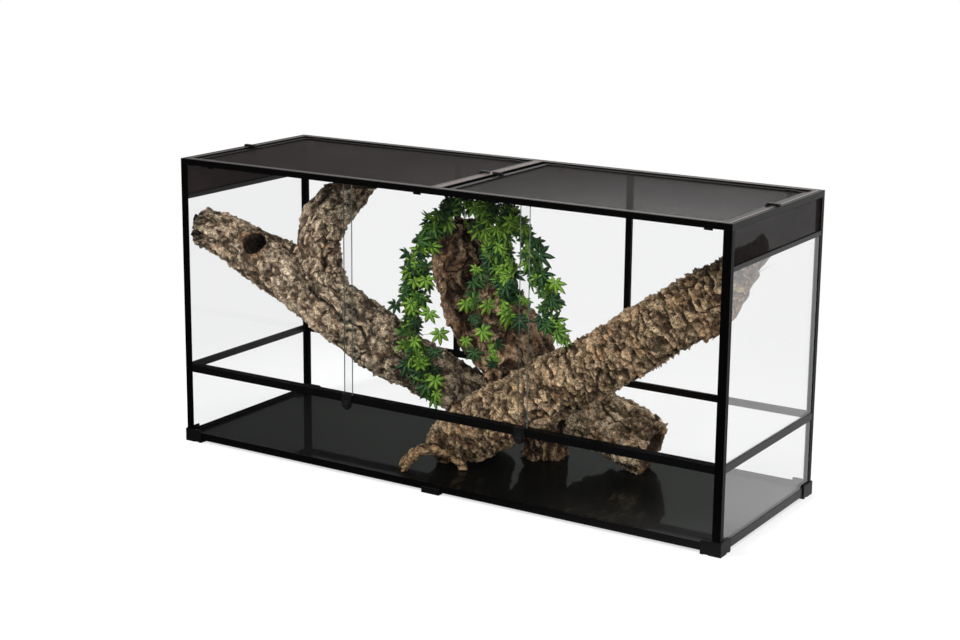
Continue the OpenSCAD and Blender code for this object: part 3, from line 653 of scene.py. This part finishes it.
def barkTube(name, look):
    # a hollow tube along a line: each ring is the line's point plus radius * (cos, sin) in the plane across
    # it, the radius carries the relief, the rings turn in at both ends to an inner wall, and all is kept off
    # the glass
    line, run = follow(np.hstack([seat(look["path"]), np.array(look["radii"])[:, None] / 1000]), look["rows"])
    steps, inner, shut = tubeSteps(run, look)
    placed = readAt(steps, run, line)
    middle, radius = placed[:, :3], placed[:, 3:]
    ahead = unit(readAt(steps, run, np.gradient(line[:, :3], run, axis=0)))
    angle = np.linspace(0, 2 * np.pi, look["ring"], endpoint=False)
    spoke = spokes(ahead, tube["aside"], angle)
    roll = (rollRadius * np.cos(angle), rollRadius * np.sin(angle), steps[:, None])
    flat = np.stack(np.broadcast_arrays(*roll), axis=-1)
    height, marks = relief(flat, reliefs[look["relief"]], look["turn"])
    uneven = tube["wallChange"] * noise(flat * [1, 1, 0.3], tube["wallSpan"], 30)
    wall = look["wall"] / 1000 * (1 + uneven)
    frayed = raggedEdge(flat, tube["fray"], 31)
    zone = -tube["frayZone"]
    end = np.maximum(smooth(-steps, zone, 0), smooth(steps - run[-1], zone, 0))[:, None]
    out = radius + height * (1 - 0.8 * inner) - inner * wall
    out = np.where(shut > 0, out * (1 - shut) + 0.0005, out)
    places = middle[:, None] + spoke * out[..., None] + ahead[:, None] * (frayed * end)[..., None]
    marks["inner"] = smooth(inner, 0.3, 0.9) * (shut == 0) + 0 * out
    marks["cut"] = smooth(inner, 0, 0.3) * (1 - marks["inner"]) + 0 * out
    marks["deep"] = marks["deep"] * (1 - smooth(inner, 0, 0.3))
    if "knot" in look:
        places = knotHole(places, spoke, look["knot"], marks)
    if "saw" in look:
        places = sawOff(places, ahead, flat, look["saw"], marks)
    held = np.clip(places, wallLow, wallHigh)
    pressed = smooth(np.linalg.norm(held - places, axis=-1), *tube["pressed"])
    pressed = pressed * (held[..., 2] > wallLow[2] + 0.001)
    marks["cut"] = np.maximum(marks["cut"], pressed * (1 - marks["inner"]))
    ends = np.clip(middle[[0, -1]], wallLow, wallHigh)
    atEnds = {"deep": 0, "plate": 0, "crest": 0.3, "inner": 1, "cut": 0}
    marks = {mark: np.append(values, [atEnds[mark]] * 2) for mark, values in marks.items()}
    makePiece(name, np.vstack([held.reshape(-1, 3), ends]), band(len(steps), len(angle)),
              barkFinishes[look["colour"]], marks, look["hides"])


def sawOff(places, ahead, flat, saw, marks):
    # every point past the saw's plane goes back along the tube, to a ragged face near the plane
    away = unit(np.array(saw["away"]))
    past = (places - seat(saw["at"])) @ away
    back = np.maximum(past - raggedEdge(flat, saw["ragged"], 35), 0) / (ahead @ away)[:, None]
    face = 0.5 * smooth(past, -0.05, 0) + 0.5 * (past > 0)
    marks["cut"] = np.maximum(marks["cut"], face * (1 - marks["inner"]))
    return places - ahead[:, None] * back[..., None]


def knotHole(places, spoke, knot, marks):
    # every point within the knot's radius of its axis sinks along the axis, over the slope, and a ragged rim
    # stands round it and fades out between two distances from it, all in millimetres
    tilt, turn = np.radians(knot["turn"])
    axis = np.array([np.sin(turn) * np.sin(tilt), -np.cos(turn) * np.sin(tilt), np.cos(tilt)])
    away = places - seat(knot["at"])
    off = away - (away @ axis)[..., None] * axis
    far = np.linalg.norm(off, axis=-1) * 1000
    faces = smooth(spoke @ axis, 0.2, 0.4) * (1 - marks["inner"])
    ragged = knot["radius"] * (1 + 0.05 * noise(off, 0.02, 40))
    sunk = (1 - smooth(far, ragged - knot["slope"], ragged)) * faces
    top, foot = knot["fades"]
    rim = (smooth(far, ragged - 2, ragged + 1) - smooth(far, ragged + top, ragged + foot)) * faces
    # the hole gets the deep mark, so it is painted near black as shade
    dark = (1 - smooth(far, ragged - 1.5, ragged + 0.5)) * faces
    marks["cut"] = np.maximum(marks["cut"], rim * smooth(noise(off, 0.022, 41), -0.4, 0.2))
    marks["cut"] = marks["cut"] * (1 - dark)
    marks["deep"] = np.maximum(marks["deep"] * (1 - rim), 1.1 * dark)
    push = rim * knot["rim"] - sunk * knot["deep"]
    return places + axis * (push / 1000)[..., None]


bark = {                      # across, deep and up in the tank, and the other lengths, in millimetres; shut
    # names the closed ends, rows and ring are the rings along a tube and the points round it, turn picks
    # another part of the noise
    "forked": {
        "path": [[-30, 86, 650], [60, 106, 633], [150, 128, 590], [320, 160, 503], [470, 192, 402],
                 [620, 260, 296], [740, 335, 219], [835, 382, 147], [884, 396, 18]],
        "radii": [53, 58, 69, 84, 85, 83, 79, 77, 70], "wall": 15, "hollow": 120, "shut": (0,),
        "rows": 420, "ring": 214, "relief": "grey", "turn": 1, "colour": "grey", "slot": "bark_grey",
        "hides": ["cork_forked"],
        "knot": {"at": (208, 90, 619), "turn": (56, 22), "radius": 37, "deep": 60, "slope": 5, "rim": 13,
                 "fades": (5, 24)}},
    "branch": {
        "path": [[430, 185, 420], [385, 195, 520], [362, 205, 610], [378, 222, 690], [422, 245, 758],
                 [462, 262, 812], [505, 285, 870]],
        "radii": [72, 68, 65, 67, 61, 57, 57], "wall": 14, "hollow": 60, "shut": (0, 1),
        "rows": 210, "ring": 196, "relief": "grey", "turn": 2, "colour": "grey", "slot": "bark_grey",
        "hides": []},
    "trunk": {
        "path": [[1040, 440, -40], [1036, 442, 60], [1006, 446, 170], [942, 446, 290], [864, 442, 370],
                 [808, 438, 450], [766, 434, 530], [742, 430, 605], [732, 428, 690]],
        "radii": [66, 66, 94, 117, 122, 113, 101, 88, 66], "wall": 14, "hollow": 60, "shut": (0,),
        "rows": 350, "ring": 240, "relief": "red", "turn": 9, "colour": "red", "slot": "bark_red",
        "hides": ["cork_trunk"]},
    "long": {
        "path": [[786, 232, 30], [850, 233, 74], [915, 234, 112], [1000, 236, 168], [1150, 242, 264],
                 [1300, 256, 364], [1450, 294, 467], [1570, 336, 551], [1680, 380, 629], [1780, 415, 696]],
        "radii": [50, 76, 88, 90, 87, 87, 88, 85, 82, 82], "wall": 15, "hollow": 120, "shut": (1,),
        "rows": 440, "ring": 208, "relief": "scale", "turn": 4, "colour": "scale", "slot": "bark_grey",
        "hides": ["cork_long"],
        "saw": {"at": (1702, 400, 650), "away": (0.747, 0.485, -0.454),
                "ragged": [(0.03, 0.02), (0.011, 0.011)]}},
    "log": {
        "path": [[1150, 458, 164], [1215, 460, 138], [1300, 464, 104], [1390, 468, 74]],
        "radii": [80, 88, 92, 84], "wall": 30, "hollow": 60, "shut": (),
        "rows": 160, "ring": 240, "relief": "red", "turn": 5, "colour": "umber", "slot": "bark_red",
        "hides": ["cork_log"]},
}

for tubeName, tubeLook in bark.items():
    barkTube(f"bark_{tubeName}", tubeLook)

archLook = {                  # sunk is how far the arc's centre lies below the panel, all in millimetres
    "at": (846, 119, 0), "radius": 106, "sunk": 34, "wall": 22, "length": 75, "turn": 37,
    "rows": 90, "ring": 320,
    "relief": 0.7, "held": (-0.007, 0.005),       # part of the relief it shows, held within these metres
    "rough": [(0.014, 0.003), (0.006, 0.002)],    # spans and heights in metres of its sawn and broken faces,
    "fray": [(0.012, 0.003)], "rounded": 0.004,   # and of its ends, and how far their edges are worn down
}


def barkArch(look):
    # an arc of bark swept along its axis: the ring runs out over the arc at the outer radius and back at the
    # inner one, so each ring is the outline of the broken edge, and quads between the two arcs close the ends
    radius, wall, sunk = look["radius"], look["wall"], look["sunk"]
    half = look["ring"] // 2
    reach = [np.arccos(sunk / radius) * 0.985, np.arccos(sunk / (radius - wall)) * 0.985]
    angle = np.concatenate([np.linspace(-reach[0], reach[0], half), np.linspace(reach[1], -reach[1], half)])
    out = np.concatenate([np.full(half, radius), np.full(half, radius - wall)]) / 1000
    outward = np.concatenate([np.ones(half), -np.ones(half)])
    steps = np.linspace(0, look["length"] / 1000, look["rows"])
    flat = np.stack(np.broadcast_arrays(np.sin(angle) * out, np.cos(angle) * out, steps[:, None]), axis=-1)
    height, marks = relief(flat, reliefs["red"], 6)
    height = look["relief"] * np.clip(height, *look["held"]) * (outward > 0)
    depth = np.minimum(steps, steps[-1] - steps)[:, None]
    rounded = look["rounded"] * (1 - smooth(depth, 0, 0.005))
    rough = sum(high * noise(flat, span, 50 + k) for k, (span, high) in enumerate(look["rough"]))
    near = out + outward * (height + rough - rounded - 0.001)
    turn = np.radians(look["turn"])
    axis, across = np.array([-np.sin(turn), np.cos(turn), 0]), np.array([np.cos(turn), np.sin(turn), 0])
    frayed = steps[:, None] + np.where(depth < 0.004, raggedEdge(flat, look["fray"], 52), 0)
    up = np.cos(angle) * near - sunk / 1000
    places = (seat(look["at"]) + across * (np.sin(angle) * near)[..., None] + axis * frayed[..., None]
              + np.array([0, 0, 1]) * np.maximum(up, 0.0003)[..., None])
    edge = np.broadcast_to(1 - smooth(depth, 0.002, 0.01), near.shape)
    marks["inner"] = np.broadcast_to(0.7 * (outward < 0) * smooth(depth, 0.002, 0.012), near.shape)
    marks["cut"] = edge * (1 - marks["inner"])
    marks["deep"] = marks["deep"] * 0.8
    ring, rows = len(angle), len(steps)
    upper = np.arange(half - 1)
    lower = ring - 1 - upper
    front = np.stack([upper + 1, upper, lower, lower - 1], axis=1)
    back = front[:, [1, 0, 3, 2]] + (rows - 1) * ring
    faces = np.vstack([ringQuads(rows, ring), front, back]).tolist()
    makePiece("bark_arch", places.reshape(-1, 3), faces, barkFinishes["tan"], marks,
              ["cork_arch"])


barkArch(archLook)
print("bark made")


vine = {
    # places in millimetres, leaves a metre, how far in metres they stand off, and where along it they start
    "strands": [
        {"path": [[745, 425, 640], [785, 370, 735], [800, 290, 770], [762, 240, 704], [733, 210, 615],
                  [728, 190, 513], [738, 180, 411], [764, 170, 313], [804, 165, 232]],
         "leaves": 175, "spread": 0.035, "from": 0.25},
        {"path": [[800, 290, 770], [880, 285, 782], [958, 270, 785], [1056, 250, 747], [1100, 240, 658],
                  [1142, 235, 577], [1179, 230, 495], [1212, 230, 435]],
         "leaves": 150, "spread": 0.034, "from": 0.12},
        {"path": [[880, 285, 782], [941, 270, 723], [960, 240, 641], [921, 220, 551], [939, 220, 464],
                  [991, 220, 397], [1001, 220, 325]],
         "leaves": 45, "spread": 0.02, "from": 0.03},
        {"path": [[958, 270, 785], [1000, 250, 730], [1020, 240, 650], [1030, 232, 570], [1058, 226, 500]],
         "leaves": 190, "spread": 0.04, "from": 0.03},
        {"path": [[840, 300, 780], [905, 272, 775], [955, 250, 700], [990, 240, 640], [1000, 236, 590]],
         "leaves": 150, "spread": 0.034, "from": 0.2},
    ],
    "light": [                # leaves that hang in front, painted light as lit
        [792, 373, 700], [915, 249, 715], [987, 234, 697], [945, 226, 668], [934, 209, 609], [1013, 214, 618],
        [905, 198, 504], [980, 198, 512], [1038, 198, 495], [962, 198, 429], [904, 198, 393], [719, 181, 581],
        [780, 175, 563], [801, 162, 469], [736, 165, 489], [843, 154, 416], [775, 148, 319], [836, 144, 276],
        [1195, 213, 601], [1096, 212, 537], [1078, 227, 746], [753, 154, 380], [1135, 215, 607],
        [1038, 233, 761], [1030, 211, 590]],
    "dark": [                 # leaves between them, painted dark as in shade
        [827, 150, 359], [933, 198, 361], [1084, 209, 475], [732, 148, 307], [1021, 223, 669],
        [1022, 207, 578], [741, 207, 677], [680, 164, 479], [928, 198, 463], [1127, 222, 711],
        [1138, 218, 676], [1184, 211, 553], [787, 245, 735], [932, 256, 766], [807, 144, 257],
        [760, 159, 435], [812, 268, 776]],
    "leaf": 0.042,            # reach of a leaf in metres, then the radii of the stems and stalks
    "stem": 0.0016, "stalk": 0.0008,
    "front": (0.5, -0.82, 0.22), "seed": 8,
    "throw": (0.3, 1.15),     # how far off the strand, in parts of its spread
    "loose": (0.36, 0.8),     # how far a leaf with a place of its own, and any other, turns by chance
    "fickle": (0.05, 0.36),   # the same for how light it is painted
    "sizes": (0.66, 1.16), "widths": (0.74, 1.05), "curls": (0.2, 2.4),
    "shownCurl": 0.9, "darkSize": 1.25,    # curl of those with a place of their own, size of the ones painted dark
}
strandSteps = 400             # places worked out along each strand


def leafShape():
    # seven lobes like the fingers of a hand, each a long diamond that is widest near its middle and comes to
    # a point: the vein stands above the two edges, and the lobe bends down with the square of its reach
    reach = np.array([0.52, 0.8, 0.96, 1.0, 0.96, 0.8, 0.52])
    turn = np.radians([-132, -88, -43, 0, 43, 88, 132])
    t = np.array([0.06, 0.42, 0.7])
    half = np.array([0.045, 0.165, 0.135])
    side = np.array([-1, 0, 1])
    x = side * (half * (0.5 + 0.5 * reach)[:, None])[..., None]
    y = (t * reach[:, None])[..., None] + 0 * x
    z = 0.05 * (1 - abs(side)) - 0.01 + 0 * x
    tip = (np.zeros((7, 1)), reach[:, None], np.full((7, 1), -0.01))
    x, y, z = (np.hstack([part.reshape(7, 9), last]) for part, last in zip((x, y, z), tip))
    z = z - 0.22 * y ** 2
    cos, sin = np.cos(turn)[:, None], np.sin(turn)[:, None]
    places = np.stack([x * cos + y * sin, y * cos - x * sin, z], axis=-1).reshape(-1, 3)
    sheet = [[0, 1, 4, 3], [1, 2, 5, 4], [3, 4, 7, 6], [4, 5, 8, 7], [2, 0, 3, 5], [5, 3, 6, 8]]
    points = [[6, 7, 9], [7, 8, 9], [8, 6, 9], [0, 2, 1]]
    lobe = np.arange(7)[:, None, None] * 10
    sheet, points = (np.array(sheet) + lobe).reshape(-1, 4), (np.array(points) + lobe).reshape(-1, 3)
    vein = np.tile([0, 1, 0, 0, 1, 0, 0, 1, 0, 1.0], 7)
    out = np.tile(np.append(np.repeat(t, 3), 1.0), 7)
    return places, sheet, points, vein, out


def stalks(starts, ends, radius):
    # a three-sided stalk from each start to its end, bowed down a little in the middle and shut at both ends
    spoke = spokes(unit(ends - starts), (0.31, 0.2, 0.93), np.radians([0, 120, 240]))
    middle = (starts + ends) / 2 - (0, 0, 0.003)
    rings = np.stack([starts, middle, ends], axis=1)[:, :, None] + radius * spoke[:, None]
    base = (np.arange(len(starts)) * 9)[:, None, None]
    j, k = np.array([[0], [1], [2]]), np.array([[1], [2], [0]])
    wall = np.hstack([j, k, k + 3, j + 3])
    walls = (np.vstack([wall, wall + 3])[None] + base).reshape(-1, 4)
    caps = (np.array([[2, 1, 0], [6, 7, 8]])[None] + base).reshape(-1, 3)
    return rings.reshape(-1, 3), walls.tolist() + caps.tolist()


def stemTube(path, radius, count=90, sides=7):
    # a round stem along the strand: the line's point plus radius * (cos, sin), thicker and thinner by turns
    line, run = follow(seat(path), count)
    angle = np.linspace(0, 2 * np.pi, sides, endpoint=False)
    spoke = spokes(unit(np.gradient(line, run, axis=0)), (0.2, 1, 0.1), angle)
    rings = line[:, None] + spoke * (radius * (1 + 0.25 * noise(line, 0.012, 60)))[:, None, None]
    return np.vstack([rings.reshape(-1, 3), line[[0, -1]]]), band(count, sides)


def leafPlaces(look, chance):
    # leaves at even steps along each strand, thrown off it at random, then the ones with a place of their own:
    # where each stalk starts, where its leaf is, how light it is painted (painted light and shade: lighter the
    # more it stands off toward the front), and how many were thrown
    lines, roots, centres, tones = [], [], [], []
    for strand in look["strands"]:
        line, run = follow(seat(strand["path"]), strandSteps)
        number = int(strand["leaves"] * run[-1])
        at = line[np.linspace(strandSteps * strand["from"], strandSteps - 1, number).astype(int)]
        away = unit(chance.normal(size=(number, 3)) * (1, 0.8, 0.6) + (0, -0.25, 0.05))
        lines.append(line)
        roots.append(at)
        centres.append(at + away * strand["spread"] * chance.uniform(*look["throw"], (number, 1)))
        # painted light: a leaf thrown toward the front is painted lighter, one thrown back darker
        tones.append(away @ np.array(look["front"]) * 0.5)
    shown = seat(look["light"] + look["dark"])
    line = np.vstack(lines)
    nearest = line[np.argmin(np.linalg.norm(line[None] - shown[:, None], axis=-1), axis=1)]
    # those that hang in front painted light, those between painted dark
    tones += [np.full(len(look["light"]), 1.2), np.full(len(look["dark"]), -0.6)]
    thrown = sum(len(part) for part in roots)
    return np.vstack([*roots, nearest]), np.vstack([*centres, shown]), np.concatenate(tones), thrown


def makeVine(look):
    # each leaf is the one shape, turned by chance to hang down and face the front, a leaf with a place of its
    # own less than the others; then the stalks and the stems
    chance = np.random.default_rng(look["seed"])
    shape, quads, corners, vein, reach = leafShape()
    roots, centres, tone, thrown = leafPlaces(look, chance)
    number = len(roots)
    placed = np.arange(number) >= thrown
    front_lit = smooth(tone + chance.normal(size=number) * np.where(placed, *look["fickle"]), -0.25, 0.85)
    loose = np.where(placed, *look["loose"])[:, None]
    down = np.array([0, 0, -1]) + chance.normal(size=(number, 3)) * loose * (1.1, 0.5, 0.7)
    face = np.array(look["front"]) + chance.normal(size=(number, 3)) * loose
    side = unit(np.cross(down, face))
    up = unit(np.cross(side, down))
    spin = np.stack([side, unit(down), up], axis=-1)
    size = look["leaf"] * np.where(tone < -0.5, look["darkSize"], 1) * chance.uniform(*look["sizes"], number)
    bent = np.repeat(shape[None], number, axis=0)
    bent[..., 0] *= chance.uniform(*look["widths"], (number, 1))
    curl = chance.uniform(*look["curls"], (number, 1))
    bent[..., 2] *= np.where(placed[:, None], look["shownCurl"], curl)
    leaves = centres[:, None] + np.einsum("nij,nkj->nki", spin, bent) * size[:, None, None]
    step = (np.arange(number) * len(shape))[:, None, None]
    faces = (quads[None] + step).reshape(-1, 4).tolist() + (corners[None] + step).reshape(-1, 3).tolist()
    marks = {"tone": np.repeat(front_lit, len(shape)), "odd": np.repeat(chance.random(number), len(shape)),
             "vein": np.tile(vein, number), "reach": np.tile(reach, number)}
    makePiece("vine_leaves", np.clip(leaves.reshape(-1, 3), wallLow, wallHigh), faces, leafFinish(),
              marks, ["vine"])
    places, faces = stalks(roots, centres, look["stalk"])
    places, count = [places], len(places)
    for strand in look["strands"]:
        stem, stemFaces = stemTube(strand["path"], look["stem"])
        places.append(stem)
        faces += [[corner + count for corner in face] for face in stemFaces]
        count += len(stem)
    makePiece("vine_stems", np.clip(np.vstack(places), wallLow, wallHigh), faces, stemFinish())
    print("vine leaves:", number)


leafColours = {"front_lit": (0.2, 0.4, 0.028), "full": (0.055, 0.17, 0.02), "shadowed_green": (0.014, 0.062, 0.022),
               "vein": (0.42, 0.6, 0.14), "tip": (0.3, 0.46, 0.04)}


def leafFinish():
    # printed cloth leaves: light yellow green where lit, deep blue green where in shade, painted light and shade
    # by the tone mark with some chance, a paler vein down each lobe
    f = newFinish("vine_leaf")
    tone, vein, reach, odd = (f.attribute(mark) for mark in ("tone", "vein", "reach", "odd"))
    weave = f.noise(f.where(), 700, 2)
    patch = f.noise(f.where(), 45, 3)
    # painted shade and light: from deep blue green in shade to light yellow green where lit
    colour = f.mix(tone.between(0.0, 0.5), leafColours["shadowed_green"], leafColours["full"])
    colour = f.mix(tone.between(0.3, 0.9), colour, leafColours["front_lit"])
    colour = f.mix(odd.between(0.6, 1.0) * 0.4, colour, leafColours["full"])
    colour = f.mix(reach.between(0.5, 1.0) * tone * 0.45, colour, leafColours["tip"])
    colour = f.mix(reach.between(0.35, 0.05) * 0.35, colour, leafColours["full"])
    colour = f.mix(vein.between(0.7, 0.97) * (tone * 0.55 + 0.1), colour, leafColours["vein"])
    colour = f.mix(patch.between(0.35, 0.7) * 0.2, colour, leafColours["shadowed_green"])
    height = weave * 0.35 + vein.between(0.6, 1.0)
    return f.done(f.surface(Base_Color=colour, Roughness=weave * 0.12 + 0.42, Specular_IOR_Level=0.4,
                            Normal=f.bump(height, 0.0005, 0.7)))


def stemFinish():
    # green plastic that goes brown in patches
    f = newFinish("vine_stem")
    patch = f.noise(f.where(), 90, 3)
    colour = f.mix(patch.between(0.35, 0.65), (0.05, 0.12, 0.025), (0.09, 0.1, 0.035))
    return f.done(f.surface(Base_Color=colour, Roughness=0.6, Normal=f.bump(patch, 0.0005)))


makeVine(vine)
print("vine made")


studio = {                    # strength of the soft light, of what glass and metal mirror on the dark and the
    "ambient": 0.38,          # white side of the room, and of what lifts the floor near the tank
    "dark": 0.04, "mirrored": 0.82, "lift": 0.62,
    "white": (0.5, 0.85, 0),  # the way to the white side
    "floor": (1.1, 1.9),      # metres from the tank's middle over which the floor goes over to white
    "lamps": [                # place, target, size, watts
        {"place": (-1.9, -3.5, 3.1), "aim": (-0.05, 0, 0.35), "size": (1.1, 0.9), "power": 140},
        {"place": (3.2, -2.8, 2.2), "aim": (0.1, 0, 0.35), "size": (1.8, 1.8), "power": 62},
        {"place": (1.2, 4.2, 3.4), "aim": (0, 0, 0.4), "size": (1.6, 1.6), "power": 36},
        {"place": (0.3, 0.6, 3.4), "aim": (0, 0, 0.4), "size": (3.0, 2.0), "power": 45},
    ],
}


def rays(f, *kinds):
    # 1 for rays of these kinds
    first, *others = (f.node("ShaderNodeLightPath", output=f"Is {kind} Ray") for kind in kinds)
    return sum(others, first)


def mirroredRoom(f, kind, place, low, high):
    # the room as glass and metal show it: dark on one side, and white behind the tank and to its right, where
    # the backdrop stands
    along = f.node("ShaderNodeVectorMath", {"operation": "DOT_PRODUCT"}, {0: place, 1: studio["white"]},
                   output="Value")
    return f.blend(along.between(low, high), f.glow(kind, studio["dark"]), f.glow(kind, studio["mirrored"]))


def makeFloor():
    # a grey floor that takes the tank's shadow and goes over to plain white away from it
    reach = 40
    corners = [(-reach, -reach, 0), (reach, -reach, 0), (reach, reach, 0), (-reach, reach, 0)]
    ground = bpy.data.meshes.new("ground")
    ground.from_pydata(corners, [], [(0, 1, 2, 3)])
    show("ground", ground)
    f = newFinish("floor")
    place = f.node("ShaderNodeTexCoord", output="Object")
    away = f.node("ShaderNodeVectorMath", {"operation": "LENGTH"}, {0: place}, output="Value")
    lit = f.node("ShaderNodeBsdfDiffuse", None, {"Color": (0.5, 0.5, 0.5, 1)})
    near = f.node("ShaderNodeAddShader", None, {0: lit, 1: f.glow("Emission", studio["lift"])})
    shown = f.blend(away.between(*studio["floor"]), near, f.glow("Emission", 1.0))
    plain = f.node("ShaderNodeBsdfDiffuse", None, {"Color": (0.7, 0.7, 0.7, 1)})
    seen = f.blend(rays(f, "Camera", "Transmission"), plain, shown)
    mirrored = mirroredRoom(f, "Emission", place, -0.3, 0.6)
    ground.materials.append(f.done(f.blend(rays(f, "Glossy"), seen, mirrored)))


def makeSky():
    # white where it is looked at, soft light for everything else
    f = Finish(bpy.data.worlds.new("studio"))
    place = f.node("ShaderNodeTexCoord", output="Generated")
    seen = f.blend(rays(f, "Camera", "Transmission"), f.glow("Background", studio["ambient"]),
                   f.glow("Background", 1.0))
    mirrored = mirroredRoom(f, "Background", place, 0.0, 0.8)
    bpy.context.scene.world = f.done(f.blend(rays(f, "Glossy"), seen, mirrored))


def makeLamps():
    # soft oblong lamps, each turned to its target
    for number, look in enumerate(studio["lamps"]):
        data = bpy.data.lights.new(f"lamp_{number}", "AREA")
        data.shape = "RECTANGLE"
        data.size, data.size_y = look["size"]
        data.energy = look["power"]
        lamp = show(data.name, data)
        lamp.location = look["place"]
        ahead = Vector(look["aim"]) - Vector(look["place"])
        lamp.rotation_euler = ahead.to_track_quat("-Z", "Y").to_euler()


makeFloor()
makeSky()
makeLamps()
bpy.context.scene.view_settings.view_transform = "Standard"
bpy.context.scene.cycles.transparent_max_bounces = 32
print("room and lamps made")
